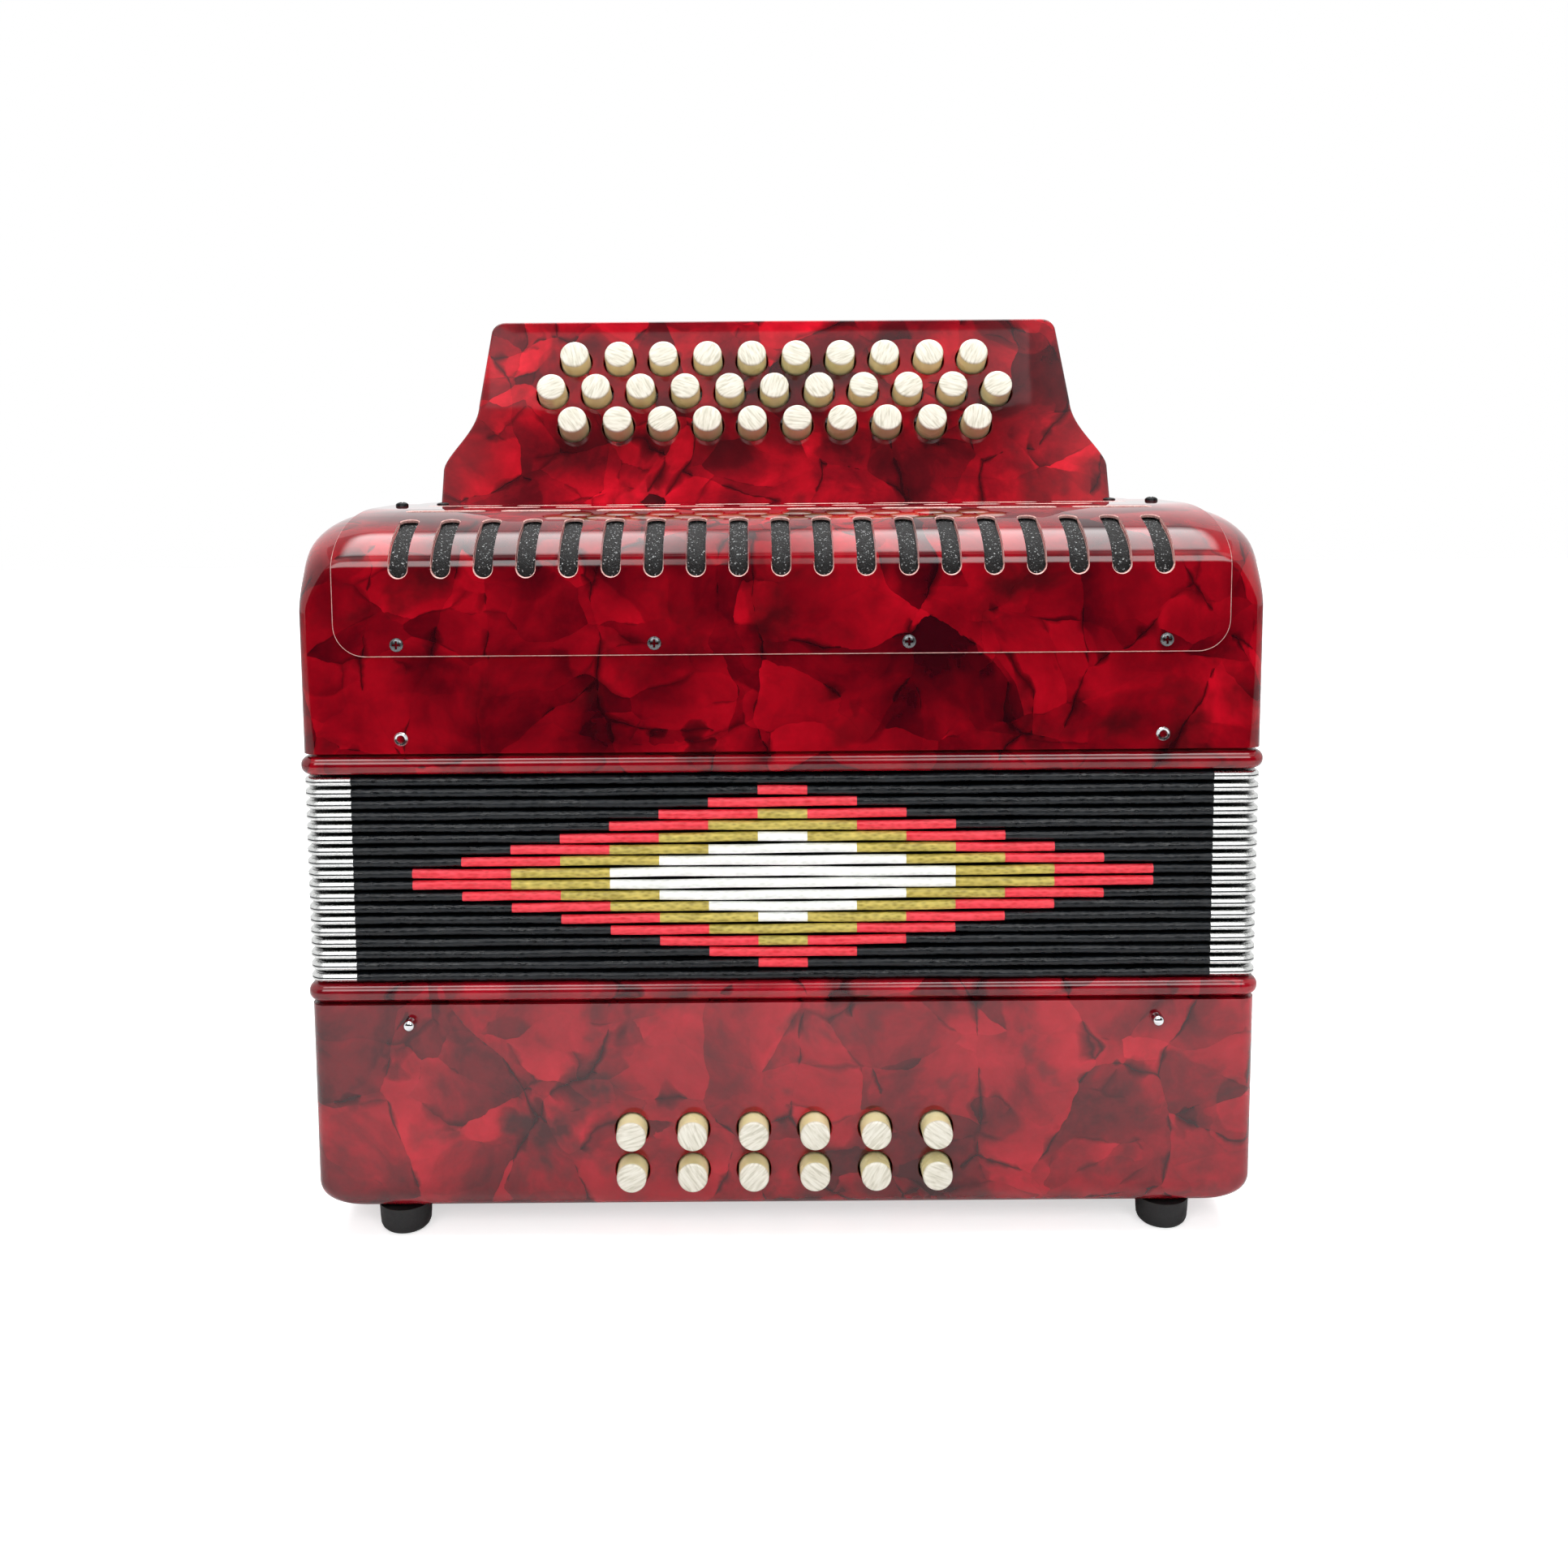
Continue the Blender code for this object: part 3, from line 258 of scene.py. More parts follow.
def shards(tree, place, size, slope, spread):
    """Brightness of crumpled pearl film: each shard has its own level and its own slope of light."""
    cells = add(tree, "TexVoronoi", {"Vector": place, "Scale": 1 / size}, feature="F1")
    from_middle = {0: place, 1: cells.outputs["Position"]}
    inside = add(tree, "VectorMath", from_middle, operation="SUBTRACT").outputs[0]
    off_grey = {0: cells.outputs["Color"], 1: (0.5, 0.5, 0.5)}
    away = add(tree, "VectorMath", off_grey, operation="SUBTRACT").outputs[0]
    tilt = add(tree, "VectorMath", {0: inside, 1: away}, operation="DOT_PRODUCT")
    level = add(tree, "SeparateColor", {0: cells.outputs["Color"]}).outputs[1]
    spaced = {0: level, 1: spread, 2: 0.5 - spread / 2}
    base = add(tree, "Math", spaced, operation="MULTIPLY_ADD").outputs[0]
    sloped = {0: tilt.outputs["Value"], 1: slope / size, 2: base}
    return add(tree, "Math", sloped, operation="MULTIPLY_ADD").outputs[0]


def creases(tree, place, size, widest):
    """Dark folds between the shards: they widen and fade out along their length."""
    edge = add(tree, "TexVoronoi", {"Vector": place, "Scale": 1 / size}, feature="DISTANCE_TO_EDGE")
    vary = add(tree, "TexNoise", {"Vector": place, "Scale": 1 / 0.011, "Detail": 2.0})
    width = add(tree, "MapRange", {0: vary.outputs[0], 1: 0.50, 2: 0.68, 3: 0.0005, 4: widest})
    return add(tree, "MapRange", {0: edge.outputs[0], 2: width.outputs[0], 3: 1.0, 4: 0.0}).outputs[0]


LARGE_SHARD, SMALL_SHARD = 0.034, 0.016


def pearloid(name, tones, brown, brown_share):
    """Polished pearloid celluloid: crumpled pearl film in shards, under a clear skin."""
    values = {"roughness": 0.35, "ior": 1.5, "specular_ior_level": 0.0, "coat_weight": 1.0}
    material, tree, shader = start_material(name, coat_roughness=0.03, **values)
    place = add(tree, "TexCoord").outputs["Object"]
    bent = pushed(tree, place, 0.050, 0.028, 2.0)
    ragged = pushed(tree, bent, 0.006, 0.0024, 4.0)
    long_way = add(tree, "Mapping", {0: ragged, 2: (0.3, 0.5, 0.6), 3: (1.0, 1.0, 0.62)}).outputs[0]
    other_way = add(tree, "Mapping", {0: ragged, 2: (0.9, 0.2, -0.5), 3: (0.6, 1.0, 1.0)}).outputs[0]
    large = shards(tree, long_way, LARGE_SHARD, 0.55, 0.10)
    small = shards(tree, other_way, SMALL_SHARD, 0.60, 0.24)
    region = add(tree, "TexNoise", {"Vector": ragged, "Scale": 1 / 0.040, "Detail": 1.0})
    small_share = {0: region.outputs[0], 1: 0.500, 2: 0.515, 3: 0.12, 4: 0.60}
    share = add(tree, "MapRange", small_share).outputs[0]
    film = add(tree, "Mix", {0: share, 2: large, 3: small}).outputs[0]
    smoke = {"Vector": bent, "Scale": 1 / 0.028, "Detail": 6.0, "Roughness": 0.6}
    cloud = {0: add(tree, "TexNoise", smoke).outputs[0], 1: 0.90, 2: -0.45}
    cloudy = add(tree, "Math", cloud, operation="MULTIPLY_ADD").outputs[0]
    level = add(tree, "Math", {0: film, 1: cloudy}, operation="ADD").outputs[0]
    tone = add(tree, "ValToRGB", {0: level}, tuple(zip(TONE_LEVELS, tones))).outputs[0]
    stain = {"Vector": bent, "Scale": 1 / 0.026, "Detail": 4.0, "Roughness": 0.55}
    patch = {0: add(tree, "TexNoise", stain).outputs[0], 1: 0.55, 2: 0.71, 3: 0.0, 4: brown_share}
    patched = add(tree, "MapRange", patch).outputs[0]
    wide_fold = creases(tree, long_way, LARGE_SHARD, 0.09)
    fine_fold = creases(tree, other_way, SMALL_SHARD, 0.13)
    gated = add(tree, "Math", {0: fine_fold, 1: share}, operation="MULTIPLY").outputs[0]
    fold = add(tree, "Math", {0: wide_fold, 1: gated}, operation="MAXIMUM").outputs[0]
    depth = add(tree, "Math", {0: fold, 1: 0.88}, operation="MULTIPLY").outputs[0]
    browned = mixed(tree, patched, tone, linear(brown))
    tree.links.new(mixed(tree, depth, browned, linear("#1C0308")), shader.inputs["Base Color"])
    return material


def grained(name, colour, lift, grain, depth, roughness, stretch=(1, 1, 1), **values):
    """A skin with a fine pebbled grain: leathercloth, rubber or card, by its grain size."""
    material, tree, shader = start_material(name, **values)
    place = add(tree, "TexCoord").outputs["Object"]
    drawn = add(tree, "Mapping", {0: place, 2: (0, 0.35, 0), 3: stretch}).outputs[0]
    pebbles = add(tree, "TexVoronoi", {"Vector": drawn, "Scale": 1 / grain}, feature="SMOOTH_F1")
    cloud = add(tree, "TexNoise", {"Vector": drawn, "Scale": 1 / (grain * 5), "Detail": 4.0}).outputs[0]
    height = add(tree, "Math", {0: pebbles.outputs[0], 1: cloud}, operation="ADD").outputs[0]
    shade = add(tree, "MapRange", {0: height, 1: 0.55, 2: 1.35}).outputs[0]
    rough = {0: cloud, 1: 0.3, 2: 0.7, 3: roughness - 0.08, 4: roughness + 0.08}
    bump = add(tree, "Bump", {"Height": height, "Distance": depth, "Strength": 0.8})
    tree.links.new(mixed(tree, shade, linear(colour), linear(lift)), shader.inputs["Base Color"])
    tree.links.new(add(tree, "MapRange", rough).outputs[0], shader.inputs["Roughness"])
    tree.links.new(bump.outputs[0], shader.inputs["Normal"])
    return material


def brushed_metal(name, colour, shade, roughness, streak=(1, 1, 1)):
    """Plated metal with fine marks left by polishing."""
    material, tree, shader = start_material(name, metallic=1.0)
    place = add(tree, "TexCoord").outputs["Object"]
    drawn = add(tree, "Mapping", {0: place, 3: streak}).outputs[0]
    marks = add(tree, "TexNoise", {"Vector": drawn, "Scale": 1 / 0.0006, "Detail": 5.0}).outputs[0]
    rough = {0: marks, 1: 0.3, 2: 0.7, 3: roughness - 0.07, 4: roughness + 0.07}
    tree.links.new(mixed(tree, marks, linear(shade), linear(colour)), shader.inputs["Base Color"])
    tree.links.new(add(tree, "MapRange", rough).outputs[0], shader.inputs["Roughness"])
    return material


def pearl_plastic(name):
    """Cast pearl plastic: fine milky streaks that lie a different way in each button."""
    values = {"roughness": 0.16, "ior": 1.5, "coat_weight": 0.5, "coat_roughness": 0.04}
    material, tree, shader = start_material(name, **values)
    across = add(tree, "UVMap", uv_map="streaks").outputs[0]
    drawn = add(tree, "Mapping", {0: across, 3: (0.16, 1.0, 1.0)}).outputs[0]
    streaks = add(tree, "TexNoise", {"Vector": drawn, "Scale": 1.15, "Detail": 4.0, "Distortion": 0.5})
    stops = ((0.32, "#BFBBA8"), (0.62, "#E4E1D4"), (0.46, "#D6D2C2"))
    ramp = add(tree, "ValToRGB", {0: streaks.outputs[0]}, stops)
    tree.links.new(ramp.outputs[0], shader.inputs["Base Color"])
    return material


def planed_wood(name):
    """Planed spruce: straight pale grain, 1.5 mm from ring to ring."""
    material, tree, shader = start_material(name, roughness=0.55)
    place = add(tree, "TexCoord").outputs["Object"]
    drawn = add(tree, "Mapping", {0: place, 3: (0.06, 1.0, 1.0)}).outputs[0]
    rings = add(tree, "TexNoise", {"Vector": drawn, "Scale": 1 / 0.0015, "Detail": 3.0}).outputs[0]
    ramp = add(tree, "ValToRGB", {0: rings}, ((0.35, "#A9824F"), (0.65, "#D9B684")))
    tree.links.new(ramp.outputs[0], shader.inputs["Base Color"])
    return material


def speckled_foam(name):
    """Black open foam behind the grille: 0.36 mm cells, a few of them bright with mica."""
    material, tree, shader = start_material(name, roughness=0.75)
    place = add(tree, "TexCoord").outputs["Object"]
    cells = add(tree, "TexVoronoi", {"Vector": place, "Scale": 1 / 0.00036}, feature="F1")
    level = add(tree, "SeparateColor", {0: cells.outputs["Color"]}).outputs[0]
    stops = ((0.78, "#060708"), (1.0, "#B4B8B8"), (0.93, "#2A2E30"))
    speck = add(tree, "ValToRGB", {0: level}, stops)
    bump = add(tree, "Bump", {"Height": cells.outputs[0], "Distance": 0.0004, "Strength": 1.0})
    tree.links.new(speck.outputs[0], shader.inputs["Base Color"])
    tree.links.new(bump.outputs[0], shader.inputs["Normal"])
    return material


TONE_LEVELS = (0.22, 0.80, 0.38, 0.50, 0.62)
CASE_TONES = ("#32020A", "#B80A1E", "#5C020D", "#7C0412", "#940616")
BOARD_TONES = ("#34040A", "#D01026", "#560610", "#7C0715", "#A0091A")
BASS_TONES = ("#400A10", "#C0182A", "#6A0C16", "#8C0E1C", "#A41222")
case_red = pearloid("pearloid_celluloid_case", CASE_TONES, "#2C080C", 0.75)
board_red = pearloid("pearloid_celluloid_board", BOARD_TONES, "#3C1014", 0.7)
bass_red = pearloid("pearloid_celluloid_bass", BASS_TONES, "#38181A", 0.9)
cut_edge = grained("celluloid_cut_edge", "#C58883", "#E6C0B8", 0.0006, 0.00002, 0.4)
GRAIN_WAY = (0.45, 1, 1)
black_values = {"stretch": GRAIN_WAY, "specular_ior_level": 0.3}
black_look = ("#030507", "#14191E", 0.0007, 0.00022, 0.30)
black_tape = grained("bellows_leathercloth", *black_look, **black_values)
black_card = grained("bellows_card", "#050607", "#0D0F11", 0.0009, 0.00003, 0.7)
red_tape = grained("red_leathercloth", "#CC1626", "#F23C4C", 0.0009, 0.00022, 0.42, GRAIN_WAY)
gold_tape = grained("gold_leathercloth", "#92822C", "#D2BE5C", 0.0009, 0.00022, 0.40, GRAIN_WAY)
white_tape = grained("white_leathercloth", "#E2E4DE", "#FCFCF9", 0.0009, 0.00022, 0.48, GRAIN_WAY)
rubber = grained("moulded_rubber", "#0D0D0E", "#1B1B1C", 0.0005, 0.00004, 0.6)
satin_nickel = brushed_metal("satin_nickel", "#E0E1E0", "#D0D1D0", 0.24)
dark_nickel = brushed_metal("dark_nickel", "#7A7C7E", "#4A4B4D", 0.28)
chrome = brushed_metal("chrome", "#E3E4E6", "#C2C4C7", 0.12)
black_screw = brushed_metal("blackened_steel", "#2A2B2C", "#141415", 0.35)
drawn_wire = brushed_metal("drawn_steel", "#9A9B9D", "#77787A", 0.32, (0.05, 1, 1))
pearl = pearl_plastic("cast_pearl_plastic")
pearl_side = grained("cream_plastic_side", "#DCD29A", "#E8DFB4", 0.0040, 0.00001, 0.3)
spruce = planed_wood("planed_spruce")
foam = speckled_foam("speckled_foam")


# Small builders


def prism(half_x, half_y, radius, low, high, steps=8):
    """Upright box with rounded corners."""
    bm = box((-half_x, -half_y, low), (half_x, half_y, high))
    upright = [e for e in bm.edges if (e.verts[0].co - e.verts[1].co).xy.length < 1e-6]
    bmesh.ops.bevel(bm, geom=upright, offset=radius, segments=steps, **BEVEL)
    return bm


def box(low, high, bm=None):
    """A box between two corners, added to a shape or by itself."""
    bm = bm or bmesh.new()
    size = Vector(high) - Vector(low)
    middle = Matrix.Translation((Vector(high) + Vector(low)) / 2)
    bmesh.ops.create_cube(bm, size=1, matrix=middle @ Matrix.Diagonal((*size, 1)))
    return bm


def slice_mesh(bm, places, axis):
    """Cut every face at places along an axis."""
    normal = Vector([1 if i == axis else 0 for i in range(3)])
    for place in places:
        geometry = bm.verts[:] + bm.edges[:] + bm.faces[:]
        bmesh.ops.bisect_plane(bm, geom=geometry, dist=1e-6, plane_co=normal * place, plane_no=normal)


def roll_inset(fall, height, depth):
    """How far a rolled rim has moved in at a distance below its flat top."""
    rise = min(max((height - fall) / height, 0), 1)
    return depth * (1 - math.sqrt(1 - rise**2))


def roll_falls(height):
    """Distances below the flat top at which a rolled rim is cut."""
    return [height * (1 - math.sin(math.pi / 2 * k / ROLL_STEPS)) for k in range(ROLL_STEPS)]


def corner_radius(fall):
    """Radius of the treble casing's corners from above: they widen towards its top."""
    share = (TREBLE_CORNER_START - fall) / (TREBLE_CORNER_START - TREBLE_CORNER_END)
    share = min(max(share, 0), 1)
    return CORNER + (TREBLE_CORNER - CORNER) * share**2 * (3 - 2 * share)


def reshape_levels(bm, levels, shape):
    """Cut an upright box at levels, and give each level its insets and corner radius."""
    slice_mesh(bm, levels, 2)
    for vert in bm.verts:
        inset, front_inset, radius = shape(vert.co.z)
        for axis, half in ((0, HALF_W), (1, HALF_D)):
            past = max(abs(vert.co[axis]) - (half - CORNER), 0) / CORNER
            back = front_inset if axis == 1 and vert.co.y < 0 else inset
            vert.co[axis] = math.copysign(half - back - radius + radius * past, vert.co[axis])
    return bm


def lathe(profile, steps, matrix, bm=None):
    """Solid of revolution about local Z, from (radius, height) pairs between two axis points."""
    bm = bm or bmesh.new()
    before = set(bm.verts)
    verts = [bm.verts.new((radius, 0, height)) for radius, height in profile]
    edges = [bm.edges.new(pair) for pair in zip(verts, verts[1:])]
    turn = {"cent": (0, 0, 0), "axis": (0, 0, 1), "angle": 2 * math.pi, "steps": steps}
    bmesh.ops.spin(bm, geom=verts + edges, use_merge=True, **turn)
    bmesh.ops.remove_doubles(bm, verts=[v for v in bm.verts if v not in before], dist=1e-6)
    made = [vert for vert in bm.verts if vert not in before]
    bmesh.ops.transform(bm, matrix=matrix, verts=made)
    faces = {face for vert in made for face in vert.link_faces}
    bmesh.ops.recalc_face_normals(bm, faces=list(faces))
    return bm


def facing(direction, origin=(0, 0, 0)):
    """Matrix that turns local Z to a direction and moves it to an origin."""
    turn = Vector((0, 0, 1)).rotation_difference(Vector(direction))
    return Matrix.Translation(Vector(origin)) @ turn.to_matrix().to_4x4()


def as_mesh(bm):
    mesh = bpy.data.meshes.new("shape")
    bm.to_mesh(mesh)
    bm.free()
    return mesh


def repeated(shape, matrices):
    """The same shape at many places, as one bmesh."""
    mesh = as_mesh(shape)
    bm = bmesh.new()
    for matrix in matrices:
        before = len(bm.verts)
        bm.from_mesh(mesh)
        bm.verts.ensure_lookup_table()
        bmesh.ops.transform(bm, matrix=matrix, verts=bm.verts[before:])
    bpy.data.meshes.remove(mesh)
    return bm


def carve(bm, cutter, operation="DIFFERENCE"):
    """The shape with another cut out of it or joined to it."""
    bmesh.ops.recalc_face_normals(bm, faces=bm.faces)
    bmesh.ops.recalc_face_normals(cutter, faces=cutter.faces)
    items = [bpy.data.objects.new("shape", as_mesh(shape)) for shape in (bm, cutter)]
    for item in items:
        bpy.context.collection.objects.link(item)
    modifier = items[0].modifiers.new("cut", "BOOLEAN")
    modifier.operation = operation
    modifier.solver = "EXACT"
    modifier.object = items[1]
    result = bmesh.new()
    result.from_object(items[0], bpy.context.evaluated_depsgraph_get())
    for item in items:
        mesh = item.data
        bpy.data.objects.remove(item)
        bpy.data.meshes.remove(mesh)
    bmesh.ops.remove_doubles(result, verts=result.verts, dist=1e-6)
    return result


def only(items, kind):
    """The verts or faces of a bmesh operator's result."""
    return [item for item in items if isinstance(item, kind)]


def drawn_out(bm, points, along):
    """Close an outline with a face and draw it out into a solid."""
    face = bm.faces.new([bm.verts.new(point) for point in points])
    grown = bmesh.ops.extrude_face_region(bm, geom=[face], use_keep_orig=True)["geom"]
    bmesh.ops.translate(bm, verts=only(grown, bmesh.types.BMVert), vec=along)


def level_edges(bm):
    """Edges whose ends are at one height."""
    return [e for e in bm.edges if abs(e.verts[0].co.z - e.verts[1].co.z) < 1e-6]


def row_places(count, pitch):
    """Places of evenly spaced things, centred on zero."""
    return [(i - (count - 1) / 2) * pitch for i in range(count)]


def place_piece(name, bm, materials, body=None, nodes=(), sharp=38, weighted=True):
    """Make a finished piece, in place, riding on a body."""
    bmesh.ops.translate(bm, verts=bm.verts, vec=MIDDLE)
    mesh = as_mesh(bm)
    mesh.name = name
    mesh.shade_smooth()
    mesh.set_sharp_from_angle(angle=math.radians(sharp))
    for material in materials:
        mesh.materials.append(material)
    piece = bpy.data.objects.new(name, mesh)
    bpy.context.collection.objects.link(piece)
    if weighted:
        modifier = piece.modifiers.new("even_normals", "WEIGHTED_NORMAL")
        modifier.keep_sharp = True
        modifier.weight = 100
    if body:
        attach(piece, body)
    if nodes:
        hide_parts(*nodes)
    return piece


# Casings


def hole_cutter(radius, depth, round_over=0.0004):
    """A round hole whose rim is softly rounded where it meets the face."""
    wide = radius + round_over
    profile = [(0, -depth), (radius, -depth)]
    for k in range(4):
        angle = math.pi / 2 * k / 3
        profile.append((wide - round_over * math.cos(angle), round_over * (math.sin(angle) - 1)))
    profile += [(wide, WALL), (0, WALL)]
    return lathe(profile, 40, Matrix())


def treble_shape(z):
    """Inset, front inset and corner radius of the treble casing at a height."""
    fall = TREBLE_HIGH - z
    front_inset = roll_inset(fall, FRONT_ROLL_HEIGHT, FRONT_ROLL_DEPTH)
    return roll_inset(fall, TREBLE_ROLL, TREBLE_ROLL), front_inset, corner_radius(fall)


def bass_shape(z):
    """Inset, front inset and corner radius of the bass casing at a height."""
    inset = roll_inset(z - BASS_LOW, BASS_ROLL, BASS_ROLL)
    return inset, inset, CORNER + inset / 2


def make_treble_casing():
    bm = prism(HALF_W, HALF_D, CORNER, TREBLE_LOW, TREBLE_HIGH, 14)
    widening = TREBLE_CORNER_START - FRONT_ROLL_HEIGHT
    falls = roll_falls(FRONT_ROLL_HEIGHT) + [FRONT_ROLL_HEIGHT + widening * k / 8 for k in range(1, 9)]
    bm = reshape_levels(bm, [TREBLE_HIGH - fall for fall in falls], treble_shape)
    half_x = HALF_W - CHAMBER_INSET
    inner_y = HALF_D - WALL
    over = TREBLE_HIGH + WALL
    arm_y = BOARD_FOOT.y + ARM_SLOT_SETBACK
    hollow_low = (WALL - HALF_W, -inner_y, TREBLE_LOW - WALL)
    spaces = (
        ((-half_x, -inner_y, SOUNDBOARD_TOP), (half_x, HALF_D - CHAMBER_INSET, TREBLE_HIGH - ROOF)),
        ((-half_x, FRONT - WALL, SOUNDBOARD_TOP + SILL), (half_x, ROOF_FRONT, over)),
        ((-ARM_SLOT_HALF, arm_y, SOUNDBOARD_TOP), (ARM_SLOT_HALF, arm_y + ARM_SLOT_DEPTH, over)),
        (hollow_low, (HALF_W - WALL, inner_y, SOUNDBOARD_TOP - SOUNDBOARD)),
    )
    for low, high in spaces:
        bm = carve(bm, box(low, high))
    place_piece("casing_treble", bm, [case_red], "treble_end", ["treble_casing"])


def make_bass_casing():
    bm = prism(HALF_W, HALF_D, CORNER, BASS_LOW, BASS_HIGH)
    bm = reshape_levels(bm, [BASS_LOW + fall for fall in roll_falls(BASS_ROLL)], bass_shape)
    slice_mesh(bm, row_places(BASS_COLUMNS + 1, BASS_PITCH), 0)
    slice_mesh(bm, [(BASS_ROWS[0] + BASS_ROWS[1]) / 2], 2)
    low = (WALL - HALF_W, WALL - HALF_D, BASS_LOW + BASS_FLOOR)
    bm = carve(bm, box(low, (HALF_W - WALL, HALF_D - WALL, BASS_HIGH + WALL)))
    columns = row_places(BASS_COLUMNS, BASS_PITCH)
    fronts = [facing((0, -1, 0), (x, FRONT, z)) for z in BASS_ROWS for x in columns]
    bm = carve(bm, repeated(hole_cutter(BASS_HOLE, 2 * WALL), fronts))
    bm = carve(bm, repeated(hole_cutter(AIR_KEY_HOLE, 2 * WALL), [facing((1, 0, 0), AIR_KEY_AT)]))
    place_piece("casing_bass", bm, [bass_red], "bass_end", ["bass_casing"])


def make_foot(name, place):
    bm = lathe(FOOT_PROFILE, 40, Matrix.Translation(place))
    place_piece(name + "_rubber", bm, [rubber], "bass_end", [name])


# Bellows


def make_frame(name, low, neck_below, body, material):
    """Bullnosed strip between a casing and the bellows."""
    high = low + FRAME_HEIGHT + FRAME_NECK
    nose_low = low + FRAME_NECK if neck_below else low
    proud = FRAME_PROUD
    bm = prism(HALF_W + proud, HALF_D + proud, CORNER + proud, nose_low, nose_low + FRAME_HEIGHT)
    bmesh.ops.bevel(bm, geom=level_edges(bm), offset=FRAME_NOSE, segments=7, **BEVEL)
    inset = FRAME_NECK_INSET
    neck = prism(HALF_W - inset, HALF_D - inset, CORNER - inset, low, high, 6)
    bm = carve(bm, neck, "UNION")
    inner = Vector((HALF_W - FRAME_BAND, HALF_D - FRAME_BAND, high + WALL))
    bm = carve(bm, box((-inner.x, -inner.y, low - WALL), inner))
    place_piece(name + "_bead", bm, [material], body, [name])


def edge_section(half, nose, tail, groove=0.0):
    """Cross-section over a fold's edge as (inset, height) pairs, with a groove along its middle."""
    pairs = []
    for k in range(11):
        angle = math.pi * (k / 10 - 0.5)
        inset = TAPE_NOSE - nose * math.cos(angle) + (groove if k == 5 else 0)
        pairs.append((inset, half * math.sin(angle)))
    return [(tail, -TAPE_TAIL_HALF)] + pairs + [(tail, TAPE_TAIL_HALF)]


def corner_sweep(bm, pairs, reach_x, reach_y, z):
    """Sweep a fold-edge section along the front and round one corner, its ends closed."""
    centre = Vector((HALF_W - CORNER, FRONT + CORNER, z))
    points = [Vector((reach_x, FRONT + inset, z + rise)) for inset, rise in pairs]
    first = bm.faces.new([bm.verts.new(point) for point in points])
    loop = bmesh.ops.extrude_face_region(bm, geom=[first], use_keep_orig=True)["geom"]
    along_front = (centre.x - reach_x, 0, 0)
    bmesh.ops.translate(bm, verts=only(loop, bmesh.types.BMVert), vec=along_front)
    faces = only(loop, bmesh.types.BMFace)
    turn = {"cent": centre, "axis": (0, 0, 1), "angle": math.pi / 2, "steps": 8}
    turned = bmesh.ops.spin(bm, geom=faces, **turn)["geom_last"]
    bmesh.ops.delete(bm, geom=[f for f in faces if f.is_valid], context="FACES_ONLY")
    last = bmesh.ops.extrude_face_region(bm, geom=only(turned, bmesh.types.BMFace))["geom"]
    along_side = (0, reach_y - centre.y, 0)
    bmesh.ops.translate(bm, verts=only(last, bmesh.types.BMVert), vec=along_side)


def copy_turned(bm, mirrored):
    """Repeat the shape on the other three corners, or behind only."""
    source = bm.verts[:] + bm.edges[:] + bm.faces[:]
    if mirrored:
        bmesh.ops.mirror(bm, geom=source, matrix=Matrix(), axis="X", merge_dist=1e-6)
        source = bm.verts[:] + bm.edges[:] + bm.faces[:]
    verts = only(bmesh.ops.duplicate(bm, geom=source)["geom"], bmesh.types.BMVert)
    bmesh.ops.rotate(bm, verts=verts, cent=(0, 0, 0), matrix=Matrix.Rotation(math.pi, 3, "Z"))
    bmesh.ops.recalc_face_normals(bm, faces=bm.faces)


def tape_colours(fold):
    """(from, to, material index) along the front of a fold: stepped diamond in three colours."""
    row = min(fold, FOLDS - 1 - fold)
    widths = [max(row - step, 0) * STEP_UNIT for step in (0.5, 2.5, 4.5)] + [0]
    spans = []
    for index, (wide, narrow) in enumerate(zip(widths, widths[1:])):
        if wide > narrow:
            spans += [(narrow, wide, index + 1), (-wide, -narrow, index + 1)]
    return spans


def add_strip(bm, start, end, index, z):
    """A strip of coloured tape over the front of a fold's edge."""
    outer = edge_section(TAPE_HALF + STRIP_PROUD, TAPE_NOSE + STRIP_PROUD, TAPE_TAIL)[1:-1]
    inner = edge_section(TAPE_HALF - STRIP_UNDER, TAPE_NOSE - STRIP_UNDER, TAPE_TAIL)[1:-1]
    points = [Vector((start, FRONT + inset, z + rise)) for inset, rise in outer + inner[::-1]]
    before = set(bm.faces)
    drawn_out(bm, points, (end - start, 0, 0))
    for made in set(bm.faces) - before:
        made.material_index = index


def wave_tapes(bm, fold):
    """Let hand-laid tape wander a tenth of a millimetre up and down along the front and back."""
    slice_mesh(bm, row_places(41, WAVE_QUICK), 0)
    for vert in bm.verts:
        if abs(vert.co.y) > HALF_D - CORNER:
            x = vert.co.x
            side = 2.1 if vert.co.y > 0 else 0
            fade = min(max((WAVE_END - abs(x)) / WAVE_FADE, 0), 1)
            slow = math.sin(x / WAVE_SLOW + 1.7 * fold + side)
            quick = math.sin(x / WAVE_QUICK + 2.9 * fold + side)
            vert.co.z += TAPE_WAVE * fade * (slow + 0.6 * quick)


def blend_between(piece):
    """Bake the piece's placement into its mesh."""
    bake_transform(piece)


def blend_level(piece):
    """Bake a stiff piece's placement into its mesh, without bending it."""
    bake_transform(piece)


